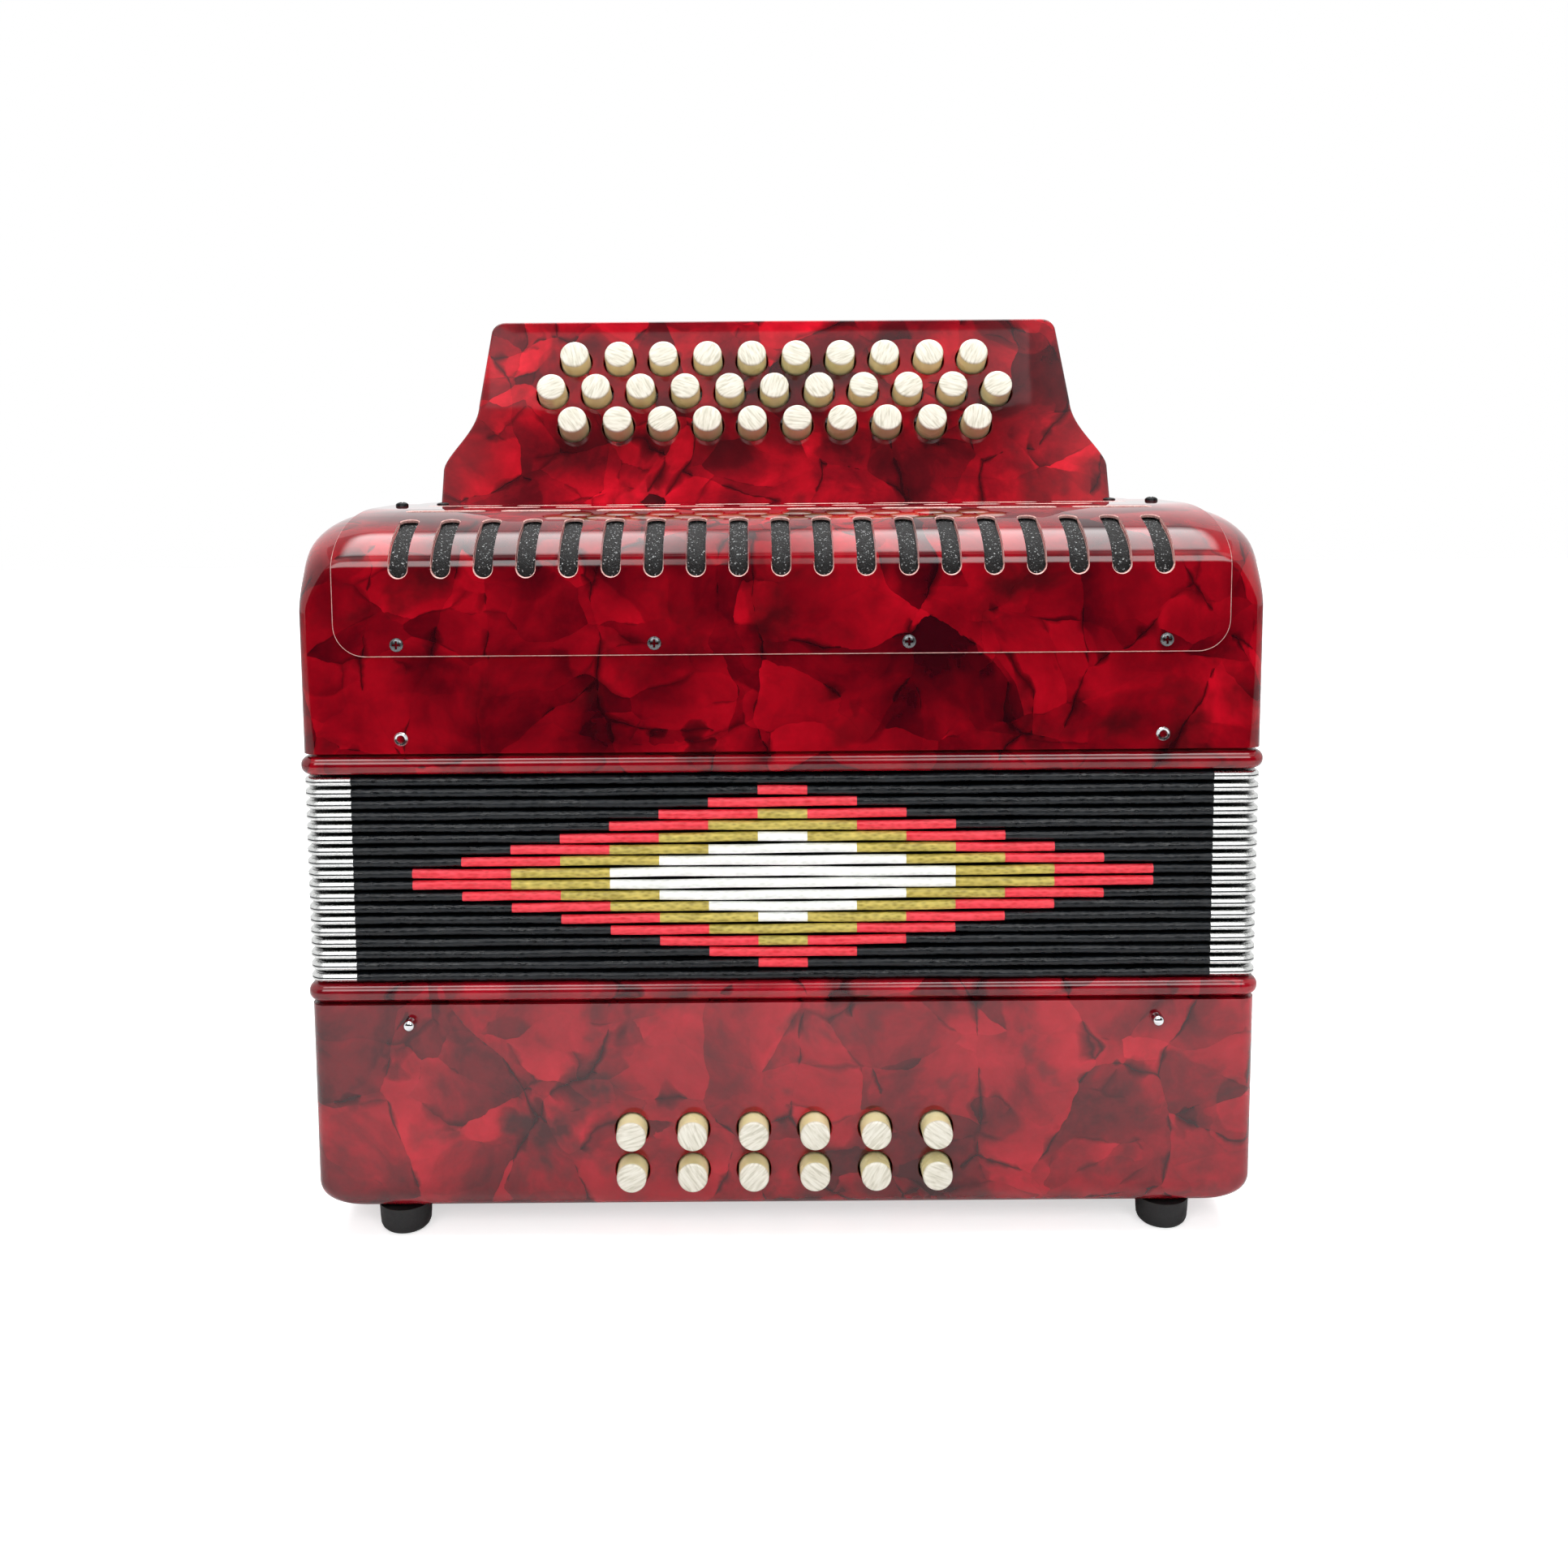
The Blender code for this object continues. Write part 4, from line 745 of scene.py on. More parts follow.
def make_wall(fold, half, ridge, valley):
    """Half of a fold: folded card from its edge down into the groove."""
    low, high = min(ridge, valley), max(ridge, valley)
    bm = prism(HALF_W - RIDGE_INSET, HALF_D - RIDGE_INSET, CORNER - RIDGE_INSET, low, high, 6)
    ends = [face for face in bm.faces if abs(face.normal.z) > 0.9]
    bmesh.ops.delete(bm, geom=ends, context="FACES_ONLY")
    for vert in bm.verts:
        if abs(vert.co.z - valley) < abs(vert.co.z - ridge):
            vert.co.x = math.copysign(min(abs(vert.co.x), HALF_W - VALLEY_INSET), vert.co.x)
            vert.co.y = math.copysign(min(abs(vert.co.y), HALF_D - VALLEY_INSET), vert.co.y)
    bmesh.ops.remove_doubles(bm, verts=bm.verts, dist=1e-6)
    bmesh.ops.recalc_face_normals(bm, faces=bm.faces)
    bmesh.ops.solidify(bm, geom=bm.faces[:], thickness=CARD)
    name = f"bellows_card_{fold + 1:02d}_{half}"
    piece = place_piece(name, bm, [black_card], weighted=False)
    blend_between(piece)
    return piece


def make_fold(fold):
    """One fold: two walls of card, the tape over their edge and four metal corner caps."""
    z = BELLOWS_LOW + (fold + 0.5) * FOLD_PITCH
    wall = make_wall(fold, "low", z, z - FOLD_PITCH / 2)
    make_wall(fold, "high", z, z + FOLD_PITCH / 2)
    bm = bmesh.new()
    corner_sweep(bm, edge_section(TAPE_HALF, TAPE_NOSE, TAPE_TAIL), 0.0, 0.0, z)
    copy_turned(bm, True)
    bmesh.ops.remove_doubles(bm, verts=bm.verts, dist=1e-6)
    inside = [f for f in bm.faces if len(f.verts) > 4]
    bmesh.ops.delete(bm, geom=inside, context="FACES_ONLY")
    bmesh.ops.recalc_face_normals(bm, faces=bm.faces)
    strips = bmesh.new()
    for start, end, index in tape_colours(fold):
        add_strip(strips, start, end, index, z)
    if strips.faces:
        copy_turned(strips, False)
        mesh = as_mesh(strips)
        bm.from_mesh(mesh)
        bpy.data.meshes.remove(mesh)
    wave_tapes(bm, fold)
    tapes = [black_tape, red_tape, gold_tape, white_tape]
    tape = place_piece(f"bellows_tape_{fold + 1:02d}", bm, tapes, weighted=False)
    blend_level(tape)
    bm = bmesh.new()
    section = edge_section(CAP_HALF, TAPE_NOSE + CAP_PROUD, TAPE_TAIL, CAP_GROOVE)
    corner_sweep(bm, section, CAP_REACH, FRONT + HALF_W - CAP_REACH, z)
    copy_turned(bm, True)
    name = f"bellows_corner_{fold + 1:02d}"
    caps = place_piece(name, bm, [satin_nickel], sharp=50, weighted=False)
    blend_level(caps)
    return wall


# Grille cover


def roll_section(out):
    """(distance along, y, z) at steps round the cover's roll, from its lower edge."""
    height, depth = FRONT_ROLL_HEIGHT + out, FRONT_ROLL_DEPTH + out
    top = TREBLE_HIGH + out
    places = [(FRONT - out, COVER_LOW)]
    for k in range(8):
        fall = TREBLE_CORNER_START + (FRONT_ROLL_HEIGHT + GAP - TREBLE_CORNER_START) * k / 8
        places.append((FRONT - out, TREBLE_HIGH + GAP - fall))
    for step in range(COVER_STEPS + 1):
        angle = math.pi / 2 * step / COVER_STEPS
        y = FRONT - out + depth * (1 - math.cos(angle))
        places.append((y, top - height * (1 - math.sin(angle))))
    run = 0
    section = [(run, *places[0])]
    for (y, z), (next_y, next_z) in zip(places, places[1:]):
        run += math.hypot(next_y - y, next_z - z)
        section.append((run, next_y, next_z))
    return section


INNER = roll_section(GAP)
OUTER = roll_section(GAP + COVER_THICK)


def along_cover(axis, place):
    """Distance along the sheet's outer face to a y (axis 1) or a z (axis 2)."""
    for first, second in zip(OUTER, OUTER[1:]):
        if first[axis] <= place < second[axis]:
            share = (place - first[axis]) / (second[axis] - first[axis])
            return first[0] + (second[0] - first[0]) * share
    return OUTER[-1][0] + place - OUTER[-1][1]


def cover_place(s, out):
    """(y, z) of a point of the bent sheet, from how far along and how far out it is."""
    share_out = out / COVER_THICK
    for (start, y0, z0), (end, y1, z1), inner0, inner1 in zip(OUTER, OUTER[1:], INNER, INNER[1:]):
        if s < end:
            share = (s - start) / (end - start)
            outer = Vector((y0 + (y1 - y0) * share, z0 + (z1 - z0) * share))
            inner = Vector(inner0[1:]).lerp(Vector(inner1[1:]), share)
            return inner.lerp(outer, share_out)
    y = OUTER[-1][1] + s - OUTER[-1][0]
    return Vector((y, TREBLE_HIGH + GAP + out))


def cover_recess(x, z, out):
    """How far the sheet falls back round the casing's corner at a place across and a height."""
    fall = TREBLE_HIGH + GAP + out - z
    radius = corner_radius(fall)
    past = max(abs(x) - (HALF_W - roll_inset(fall, TREBLE_ROLL, TREBLE_ROLL) - radius), 0)
    radius += GAP + out
    return radius - math.sqrt(radius**2 - past**2)


def bend_cover(bm):
    """Bend a flat sheet, drawn as (across, along, out), over the casing's front, top and corners."""
    top_start = FRONT + FRONT_ROLL_DEPTH
    for vert in bm.verts:
        x, s, out = vert.co
        y, z = cover_place(s, out)
        fade = min((COVER_REAR - y) / (COVER_REAR - top_start), 1)
        vert.co = (x, y + cover_recess(x, z, out) * fade, z)


def slice_cover(bm):
    """Cut the flat sheet where it will bend, and between its slots."""
    slice_mesh(bm, [run for run, y, z in OUTER[1:]], 1)
    slice_mesh(bm, [along_cover(1, y) for y in BETWEEN_TOP_SLOTS], 1)
    slice_mesh(bm, row_places(SLOT_COUNT + 1, SLOT_PITCH), 0)
    flat_half = HALF_W - TREBLE_ROLL - TREBLE_CORNER
    ends = [flat_half + (COVER_HALF - flat_half) * math.sin(math.pi / 2 * k / 9) for k in range(9)]
    slice_mesh(bm, ends + [-x for x in ends], 0)


def slot_cutter(length, width):
    """Round-ended cutter along Y through the flat sheet, flared so that the slot's rim is broken."""
    half = (length - width) / 2
    top = COVER_THICK + COVER_RIM
    bm = prism(width / 2, length / 2, width / 2 - 0.00002, -0.001, top, 10)
    slice_mesh(bm, [COVER_THICK - COVER_RIM], 2)
    for vert in bm.verts:
        if vert.co.z > COVER_THICK:
            axis = Vector((0, min(max(vert.co.y, -half), half), vert.co.z))
            vert.co += (vert.co - axis).normalized() * 2 * COVER_RIM
    return bm


def make_cover():
    bm = box((-COVER_HALF, 0, 0), (COVER_HALF, along_cover(1, COVER_REAR), COVER_THICK))
    low_corners = []
    for edge in bm.edges:
        first, second = (vert.co for vert in edge.verts)
        if first.y < 1e-6 and second.y < 1e-6 and abs(first.x - second.x) < 1e-6:
            low_corners.append(edge)
    bmesh.ops.bevel(bm, geom=low_corners, offset=COVER_CORNER, segments=12, **BEVEL)
    rim = [edge for edge in bm.edges if min(vert.co.z for vert in edge.verts) > COVER_THICK - 1e-6]
    bmesh.ops.bevel(bm, geom=rim, offset=COVER_RIM, segments=1, **BEVEL)
    slice_cover(bm)
    slot_start = along_cover(2, SLOT_LOW)
    slot_end = along_cover(1, SLOT_TOP_Y)
    middle = (slot_start + slot_end) / 2
    places = [Matrix.Translation((x, middle, 0)) for x in row_places(SLOT_COUNT, SLOT_PITCH)]
    bm = carve(bm, repeated(slot_cutter(slot_end - slot_start, SLOT_WIDTH), places))
    turned = Matrix.Rotation(math.pi / 2, 4, "Z")
    places = []
    for y, count in TOP_SLOT_ROWS:
        spots = [(x, along_cover(1, y), 0) for x in row_places(count, TOP_SLOT_PITCH)]
        places += [Matrix.Translation(spot) @ turned for spot in spots]
    bm = carve(bm, repeated(slot_cutter(TOP_SLOT_LENGTH, TOP_SLOT_WIDTH), places))
    bm.normal_update()
    for face in bm.faces:
        face.material_index = 1 if abs(face.normal.z) < 0.9 else 0
    bend_cover(bm)
    looks = [case_red, cut_edge]
    place_piece("cover_sheet", bm, looks, "treble_end", ["grille_cover"])


def make_foam():
    """Foam sheet stretched inside the grille."""
    half = HALF_W - CHAMBER_INSET - FOAM_INSET
    end = along_cover(1, COVER_REAR) - FOAM_END_GAP
    bm = box((-half, FOAM_START, FOAM_LOW), (half, end, FOAM_HIGH))
    slice_cover(bm)
    bend_cover(bm)
    place_piece("grille_foam", bm, [foam], "treble_end")


# Fingerboard


def on_board(across, up, out):
    """A point up the fingerboard's face and out of it."""
    return Vector((across, 0, 0)) + BOARD_FOOT + BOARD_UP * up + BOARD_OUT * out


def board_half_width(up):
    """Half width of the fingerboard: foot, S-shaped flare, taper."""
    start, end = BOARD_FLARE
    if up <= start:
        return BOARD_BASE_HALF
    if up < end:
        share = (up - start) / (end - start)
        ease = 0.5 - 0.5 * math.cos(math.pi * share**0.8)
        return BOARD_BASE_HALF + (BOARD_NECK_HALF - BOARD_BASE_HALF) * ease
    share = (up - end) / (BOARD_HEIGHT - end)
    return BOARD_NECK_HALF + (BOARD_TOP_HALF - BOARD_NECK_HALF) * share


def make_fingerboard():
    """The board is cut out flat, as (across, up, out), and then leant back."""
    side = [(BOARD_BASE_HALF, -BOARD_THICK)]
    start, end = BOARD_FLARE
    for k in range(17):
        up = start + (end - start) * k / 16
        side.append((board_half_width(up), up))
    for k in range(7):
        angle = math.pi / 2 * k / 6
        x = BOARD_TOP_HALF - BOARD_CORNER + BOARD_CORNER * math.cos(angle)
        side.append((x, BOARD_HEIGHT - BOARD_CORNER + BOARD_CORNER * math.sin(angle)))
    points = [(x, up, 0) for x, up in side] + [(-x, up, 0) for x, up in side[::-1]]
    bm = bmesh.new()
    drawn_out(bm, points, (0, 0, -BOARD_THICK))
    bmesh.ops.recalc_face_normals(bm, faces=bm.faces)
    bmesh.ops.bevel(bm, geom=level_edges(bm), offset=BOARD_EDGE, segments=4, **BEVEL)
    slice_mesh(bm, row_places(12, TREBLE_PITCH), 0)
    ups = [up for count, up in TREBLE_ROWS]
    slice_mesh(bm, [(upper + lower) / 2 for upper, lower in zip(ups, ups[1:])], 1)
    slice_mesh(bm, [ups[-1] - ROW_MARGIN, ups[0] + ROW_MARGIN], 1)
    spots = [(x, up, 0) for count, up in TREBLE_ROWS for x in row_places(count, TREBLE_PITCH)]
    hole = hole_cutter(TREBLE_HOLE, 2 * BOARD_THICK)
    bm = carve(bm, repeated(hole, [Matrix.Translation(spot) for spot in spots]))
    lean = Matrix(((1, 0, 0), BOARD_UP, BOARD_OUT)).transposed().to_4x4()
    bmesh.ops.transform(bm, matrix=Matrix.Translation(BOARD_FOOT) @ lean, verts=bm.verts)
    floor = box((-HALF_W, -HALF_D, TREBLE_HIGH - 2 * WALL), (HALF_W, HALF_D, TREBLE_HIGH + GAP))
    bm = carve(bm, floor)
    place_piece("board_front", bm, [board_red], "treble_end", ["fingerboard"])


def hood_block(wall):
    """Tapered wedge behind the fingerboard, moved in by a wall."""
    behind = BOARD_THICK + GAP
    top = BOARD_HEIGHT - HOOD_TOP_DROP - wall
    front_base = on_board(0, 0, -behind)
    front_base += BOARD_UP * (BOARD_FOOT.z - front_base.z) / BOARD_UP.z
    rear_base = BOARD_FOOT + Vector((0, HOOD_BASE_DEPTH - wall, 0))
    rear_top = on_board(0, top, wall - HOOD_TOP_DEPTH)
    points = [front_base, on_board(0, top, -behind), rear_top, rear_base]
    if wall:
        points[0] += BOARD_OUT * BOARD_THICK - Vector((0, 0, 2 * wall))
        points[1] += BOARD_OUT * BOARD_THICK
        points[3] -= Vector((0, 0, 2 * wall))
    bm = bmesh.new()
    shift = Vector((-BOARD_TOP_HALF, 0, 0))
    drawn_out(bm, [point + shift for point in points], -2 * shift)
    for vert in bm.verts:
        share = min(max((vert.co - BOARD_FOOT).dot(BOARD_UP) / BOARD_HEIGHT, 0), 1)
        width = BOARD_NECK_HALF + (BOARD_TOP_HALF - BOARD_NECK_HALF) * share - HOOD_SIDE_INSET - wall
        vert.co.x = math.copysign(width, vert.co.x)
    bmesh.ops.recalc_face_normals(bm, faces=bm.faces)
    return bm


def make_hood():
    bm = hood_block(0)
    back_edges = []
    for edge in bm.edges:
        middle = (edge.verts[0].co + edge.verts[1].co) / 2
        depth = (middle - BOARD_FOOT).dot(BOARD_OUT)
        if depth < -BOARD_THICK - 0.001 and middle.z > BOARD_FOOT.z + 0.001:
            back_edges.append(edge)
    bmesh.ops.bevel(bm, geom=back_edges, offset=HOOD_EDGE, segments=6, **BEVEL)
    bm = carve(bm, hood_block(HOOD_WALL))
    place_piece("board_hood", bm, [case_red], "treble_end", ["fingerboard_back"])


# Buttons


def button_profile(radius, face_radius, out, below):
    """Side and softly rounded face of a pearl button."""
    edge = BUTTON_EDGE
    pairs = [(0, -below), (radius, -below), (face_radius + 0.00003, out - edge)]
    for k in range(1, 6):
        angle = math.pi / 2 * k / 5
        height = out - edge + (edge - 0.0001) * math.sin(angle)
        pairs.append((face_radius - edge * (1 - math.cos(angle)), height))
    return pairs + [(face_radius * 0.5, out - 0.00002), (0, out)]


def add_streak_map(bm, direction, angle, offset):
    """Flat map in millimetres across a button's face, turned its own way."""
    across = Vector(direction).orthogonal().normalized()
    upward = Vector(direction).cross(across).normalized()
    layer = bm.loops.layers.uv.new("streaks")
    for face in bm.faces:
        for loop in face.loops:
            u = loop.vert.co.dot(across) * 1000
            v = loop.vert.co.dot(upward) * 1000
            turned_u = u * math.cos(angle) - v * math.sin(angle)
            turned_v = u * math.sin(angle) + v * math.cos(angle)
            loop[layer].uv = (turned_u + offset, turned_v + offset)


def make_button(name, body, place, direction, sizes, extra=(), nodes=()):
    """A pearl button (radius, face radius, out, below) with a cream side and streaks of its own."""
    number = sum((i + 1) * ord(letter) for i, letter in enumerate(name))
    matrix = facing(direction, place)
    radius, face_radius, out, below = sizes
    bm = lathe(button_profile(radius, face_radius, out, below), 40, matrix)
    direction = Vector(direction)
    for face in bm.faces:
        height = (face.calc_center_median() - place).dot(direction)
        face.material_index = 1 if height < out - BUTTON_EDGE else 0
    if extra:
        before = set(bm.faces)
        lathe(extra, 16, matrix, bm)
        for face in set(bm.faces) - before:
            face.material_index = 2
    add_streak_map(bm, direction, number * 2.399, number % 97)
    materials = [pearl, pearl_side, drawn_wire]
    place_piece(name, bm, materials, body, nodes, weighted=False)


def make_buttons():
    for row, (count, up) in enumerate(TREBLE_ROWS):
        for column, x in enumerate(row_places(count, TREBLE_PITCH)):
            label = f"{row + 1}_{column + 1:02d}"
            key = f"treble_key_{label}"
            make_button(f"treble_button_{label}", key, on_board(x, up, 0), BOARD_OUT, TREBLE_BUTTON)
    for row, z in enumerate(BASS_ROWS):
        for column, x in enumerate(row_places(BASS_COLUMNS, BASS_PITCH)):
            node = f"bass_key_{row + 1}_{column + 1}"
            name = f"bass_button_{row + 1}_{column + 1}"
            place = Vector((x, FRONT, z))
            make_button(name, node, place, (0, -1, 0), BASS_BUTTON, PLUNGER, [node])
    make_button("air_button", "air_key", AIR_KEY_AT, (1, 0, 0), AIR_BUTTON, (), ["air_key"])


# Fasteners


def screw_head(radius, height, place, direction):
    """Domed screw head with a cross recess."""
    profile = [(0, -0.003), (radius * 0.5, -0.003), (radius * 0.5, 0), (radius, 0)]
    for k in range(1, 6):
        angle = math.pi / 2 * k / 6
        profile.append((radius * math.cos(angle), height * (0.25 + 0.75 * math.sin(angle))))
    profile.append((0, height))
    bm = lathe(profile, 32, Matrix())
    long, wide, deep = radius * 0.62, radius * 0.17, -0.0004
    bm = carve(bm, box((-long, -wide, deep), (long, wide, 2 * height)))
    bm = carve(bm, box((-wide, -long, deep), (wide, long, 2 * height)))
    bmesh.ops.transform(bm, matrix=facing(direction, place), verts=bm.verts)
    return bm


COVER_SCREWS_X = (-0.1255, -0.0415, 0.0415, 0.1255)
COVER_SCREWS_Z = 0.2060
TOP_SCREWS = ((-0.1400, -0.0150), (0.1400, -0.0150), (-0.1275, -0.0010), (0.1275, -0.0010))
TOP_SCREW_HEIGHTS = (0.0016, 0.0016, 0.0009, 0.0009)
BASS_PIN_X, BASS_PIN_Z = 0.1250, 0.0781
TREBLE_PIN_X, TREBLE_PIN_Z = 0.1253, 0.1746
PIN_STUB = ((0, -0.004), (0.0019, -0.004), (0.0019, 0.0028), (0.0015, 0.0034))
PIN_STUB += ((0.0009, 0.0037), (0, 0.0038))
PIN_RING = ((0, -0.004), (0.0023, -0.004), (0.0023, 0.0002), (0.0019, 0.0007), (0.0014, 0.0006))
PIN_RING += ((0.0011, 0.0001), (0.0011, -0.0015), (0, -0.0015))


def make_fasteners():
    """Screws of the grille cover, and the pins that hold the bellows to both casings."""
    cover_face = FRONT - GAP - COVER_THICK
    for number, x in enumerate(COVER_SCREWS_X, 1):
        bm = screw_head(0.00225, 0.0010, (x, cover_face, COVER_SCREWS_Z), (0, -1, 0))
        place_fastener(f"cover_screw_{number}", bm, dark_nickel, "treble_end")
    sunk_top = TREBLE_HIGH + GAP + COVER_THICK - 0.0001
    for number, ((x, y), height) in enumerate(zip(TOP_SCREWS, TOP_SCREW_HEIGHTS), 1):
        bm = screw_head(0.0024, height, (x, y, sunk_top), (0, 0, 1))
        place_fastener(f"top_screw_{number}", bm, black_screw, "treble_end")
    for side, side_name in ((-1, "left"), (1, "right")):
        for way, way_name, low_shape in ((-1, "front", PIN_STUB), (1, "rear", PIN_RING)):
            bass_place = (side * BASS_PIN_X, way * HALF_D, BASS_PIN_Z)
            bm = lathe(low_shape, 28, facing((0, way, 0), bass_place))
            place_fastener(f"bass_pin_{side_name}_{way_name}", bm, chrome, "bass_end")
            treble_place = (side * TREBLE_PIN_X, way * HALF_D, TREBLE_PIN_Z)
            bm = lathe(PIN_RING, 28, facing((0, way, 0), treble_place))
            place_fastener(f"treble_pin_{side_name}_{way_name}", bm, chrome, "treble_end")


def place_fastener(name, bm, material, body):
    """Place a screw or a pin, which rides on a casing."""
    place_piece(name, bm, [material], body, weighted=False)


# Camera, floor and light


PICTURE_SIZE = 1932
FOCAL_LENGTH = 1900
PICTURE_AXIS = (925.0, 750.28)
FILM_WIDTH = 36
CAMERA_PLACE = Vector((-0.0100, -0.5925, 0.2685))
CAMERA_PITCH, CAMERA_ROLL = math.radians(5.9), math.radians(0.42)


def make_camera():
    """The camera of the photo: its focal length and the foot of its axis are in picture points."""
    data = bpy.data.cameras.new("camera")
    camera = bpy.data.objects.new("camera", data)
    bpy.context.collection.objects.link(camera)
    forward = Vector((0, math.cos(CAMERA_PITCH), -math.sin(CAMERA_PITCH)))
    upward = Vector((0, math.sin(CAMERA_PITCH), math.cos(CAMERA_PITCH)))
    level = Vector((1, 0, 0))
    right = level * math.cos(CAMERA_ROLL) - upward * math.sin(CAMERA_ROLL)
    top = level * math.sin(CAMERA_ROLL) + upward * math.cos(CAMERA_ROLL)
    matrix = Matrix((right, top, -forward)).transposed().to_4x4()
    matrix.translation = CAMERA_PLACE + MIDDLE
    camera.matrix_world = matrix
    data.sensor_width = FILM_WIDTH
    data.lens = FOCAL_LENGTH / PICTURE_SIZE * FILM_WIDTH
    data.shift_x = (PICTURE_SIZE / 2 - PICTURE_AXIS[0]) / PICTURE_SIZE
    data.shift_y = (PICTURE_AXIS[1] - PICTURE_SIZE / 2) / PICTURE_SIZE
    data.clip_end = 50
    bpy.context.scene.camera = camera


def make_card(name, size, matrix, material, seen=False):
    """A flat studio card: the floor, a screen that lights, or a flag that keeps light off."""
    bm = bmesh.new()
    bmesh.ops.create_grid(bm, x_segments=1, y_segments=1, size=0.5)
    bmesh.ops.scale(bm, vec=(*size, 1), verts=bm.verts)
    bmesh.ops.transform(bm, matrix=matrix, verts=bm.verts)
    mesh = as_mesh(bm)
    mesh.materials.append(material)
    card = bpy.data.objects.new(name, mesh)
    bpy.context.collection.objects.link(card)
    card.visible_camera = seen


def make_floor():
    """Matt white floor that the camera sees as white, with the object's shadow on it."""
    white, tree, shader = start_material("matt_white_floor", roughness=0.9)
    shader.inputs["Base Color"].default_value = linear("#F0F0F0")
    shader.inputs["Emission Color"].default_value = linear("#FFFFFF")
    path = add(tree, "LightPath")
    place = add(tree, "TexCoord").outputs["Object"]
    away = add(tree, "VectorMath", {0: place}, operation="LENGTH").outputs["Value"]
    level = add(tree, "MapRange", {0: away, 1: 0.7, 2: 1.8, 3: 0.6, 4: 1.1}).outputs[0]
    glow = add(tree, "Math", {0: path.outputs["Is Camera Ray"], 1: level}, operation="MULTIPLY")
    tree.links.new(glow.outputs[0], shader.inputs["Emission Strength"])
    make_card("floor", (6.0, 3.9), Matrix.Translation((0, 1.05, 0)), white, True)


def light_pool(tree, beside, along, edges):
    """Soft-edged patch of light, lit between its inner, outer, near and far edges."""
    lit = None
    for axis, (dark, bright) in zip((beside, beside, along, along), edges):
        smooth = {"interpolation_type": "SMOOTHSTEP"}
        edge = add(tree, "MapRange", {0: axis, 1: dark, 2: bright}, **smooth).outputs[0]
        lit = add(tree, "Math", {0: lit, 1: edge}, operation="MULTIPLY").outputs[0] if lit else edge
    return lit


def lit_cloth(name, axis, dim_level, pools):
    """Dark diffusion cloth with pools of light on both sides of its middle."""
    cloth, tree, shader = start_material(name, roughness=1.0)
    shader.inputs["Base Color"].default_value = linear("#0A0A0A")
    shader.inputs["Emission Color"].default_value = linear("#FFFFFF")
    place = add(tree, "SeparateXYZ", {0: add(tree, "TexCoord").outputs["Object"]}).outputs
    beside = add(tree, "Math", {0: place[0]}, operation="ABSOLUTE").outputs[0]
    strength = dim_level
    for edges, level in pools:
        lit = light_pool(tree, beside, place[axis], edges)
        added = {0: lit, 1: level, 2: strength}
        strength = add(tree, "Math", added, operation="MULTIPLY_ADD").outputs[0]
    tree.links.new(strength, shader.inputs["Emission Strength"])
    return cloth


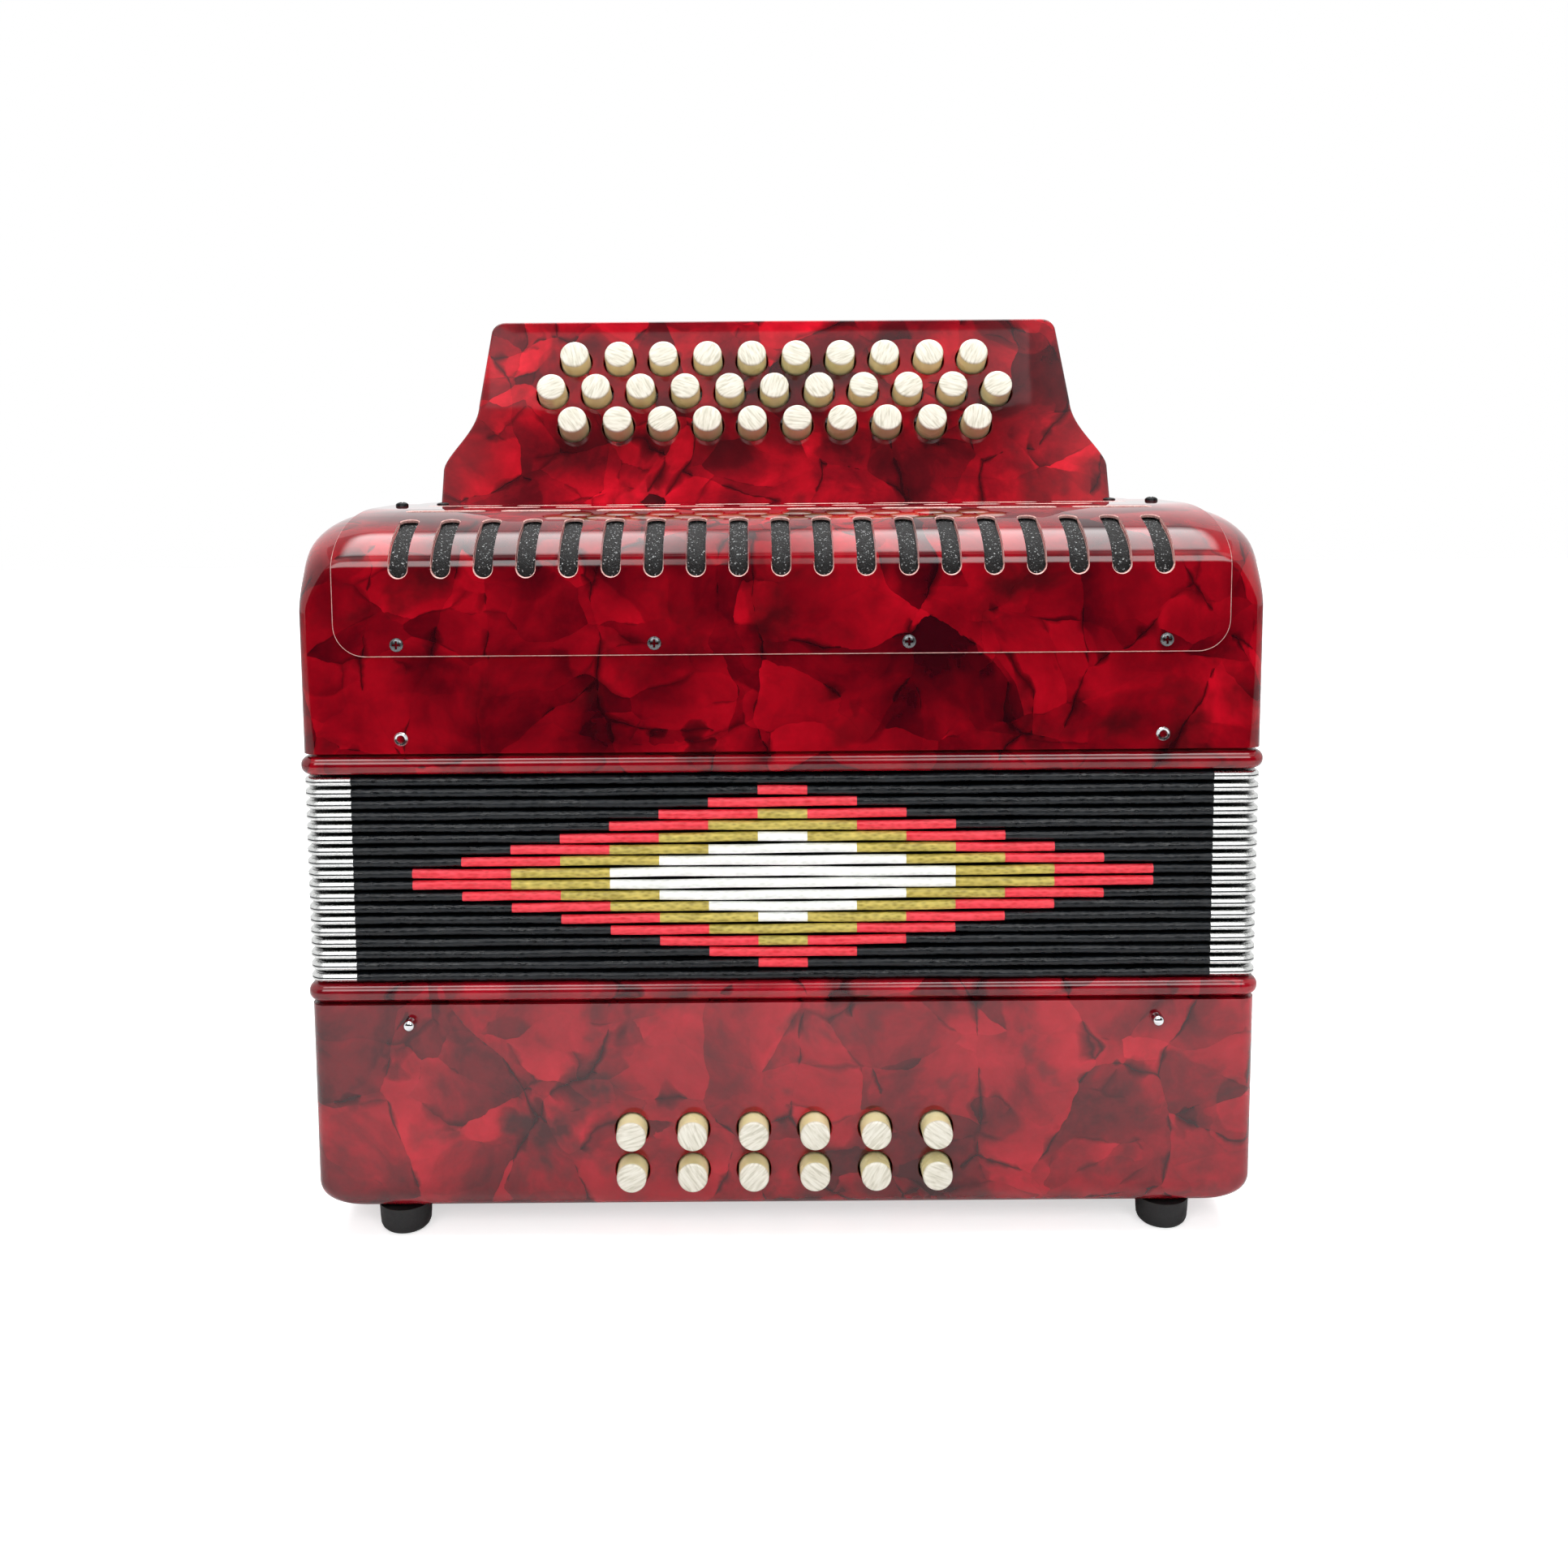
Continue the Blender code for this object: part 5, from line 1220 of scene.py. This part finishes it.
def make_screens():
    """A screen in front and one overhead, each with soft lights, and a low black flag in front."""
    pools = ((LOWER_POOL, LOWER_LEVEL), (UPPER_POOL, UPPER_LEVEL))
    cloth = lit_cloth("front_diffusion_cloth", 2, SCREEN_DIM_LEVEL, pools)
    upright = Matrix.Rotation(math.pi / 2, 4, "X")
    size = (2 * SCREEN_HALF, SCREEN_TOP - SCREEN_LOW)
    middle = Matrix.Translation((0, SCREEN_Y, (SCREEN_TOP + SCREEN_LOW) / 2))
    make_card("front_screen", size, middle @ upright, cloth)
    pools = ((OVERHEAD_POOL, OVERHEAD_LEVEL),)
    cloth = lit_cloth("overhead_diffusion_cloth", 1, OVERHEAD_DIM_LEVEL, pools)
    size = (2 * OVERHEAD_HALF, OVERHEAD_POOL[3][0] - OVERHEAD_POOL[2][0])
    middle = Matrix.Translation((0, (OVERHEAD_POOL[3][0] + OVERHEAD_POOL[2][0]) / 2, OVERHEAD_Z))
    make_card("overhead_screen", size, middle, cloth)
    black, tree, shader = start_material("black_flag_cloth", roughness=0.9)
    shader.inputs["Base Color"].default_value = linear("#060606")
    middle = Matrix.Translation((0, FLAG_Y, FLAG_TOP / 2))
    make_card("low_flag", (2 * SCREEN_HALF, FLAG_TOP), middle @ upright, black)


def make_light(name, place, target, size, watts):
    data = bpy.data.lights.new(name, "AREA")
    data.shape = "RECTANGLE"
    data.size, data.size_y = size
    data.energy = watts
    lamp = bpy.data.objects.new(name, data)
    bpy.context.collection.objects.link(lamp)
    lamp.location = place
    lamp.rotation_euler = (Vector(target) - Vector(place)).to_track_quat("-Z", "Y").to_euler()


def make_world():
    """White studio that is seen and mirrored as white, and lights the object more softly."""
    world = bpy.data.worlds.new("studio")
    bpy.context.scene.world = world
    world.use_nodes = True
    tree = world.node_tree
    path = add(tree, "LightPath").outputs
    direct = {0: path["Is Camera Ray"], 1: path["Is Glossy Ray"]}
    seen = add(tree, "Math", direct, operation="ADD").outputs[0]
    through = {0: seen, 1: path["Is Transmission Ray"]}
    white = add(tree, "Math", through, operation="ADD", use_clamp=True).outputs[0]
    colour = mixed(tree, white, linear("#6E6E70"), linear("#FFFFFF"))
    tree.links.new(colour, tree.nodes["Background"].inputs["Color"])


def dress_nodes():
    """Give the CAD pieces that stay in view their own finish."""
    for name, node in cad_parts.items():
        if name.startswith("treble_key"):
            finish = drawn_wire
        elif "reed_block" in name or "guide" in name:
            finish = spruce
        else:
            continue
        node.data.materials.clear()
        node.data.materials.append(finish)


make_camera()
make_treble_casing()
make_bass_casing()
for front_label, sy in (("front", -1), ("rear", 1)):
    for side_label, sx in (("left", -1), ("right", 1)):
        make_foot(f"foot_{front_label}_{side_label}", (sx * FOOT_X, sy * FOOT_Y, 0))
make_frame("bass_bellows_frame", BASS_FRAME_LOW, True, "bass_end", bass_red)
make_frame("treble_bellows_frame", TREBLE_FRAME_LOW, False, "treble_end", case_red)
folds = [make_fold(number) for number in range(FOLDS)]
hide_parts("bellows")
make_cover()
make_foam()
make_fingerboard()
make_hood()
make_buttons()
make_fasteners()
dress_nodes()
make_floor()
make_screens()
make_world()
make_light("front_softbox", (0, -1.1, 1.5), (0, 0, 0.2), (0.8, 0.5), 1)
bpy.context.scene.view_settings.view_transform = "Standard"
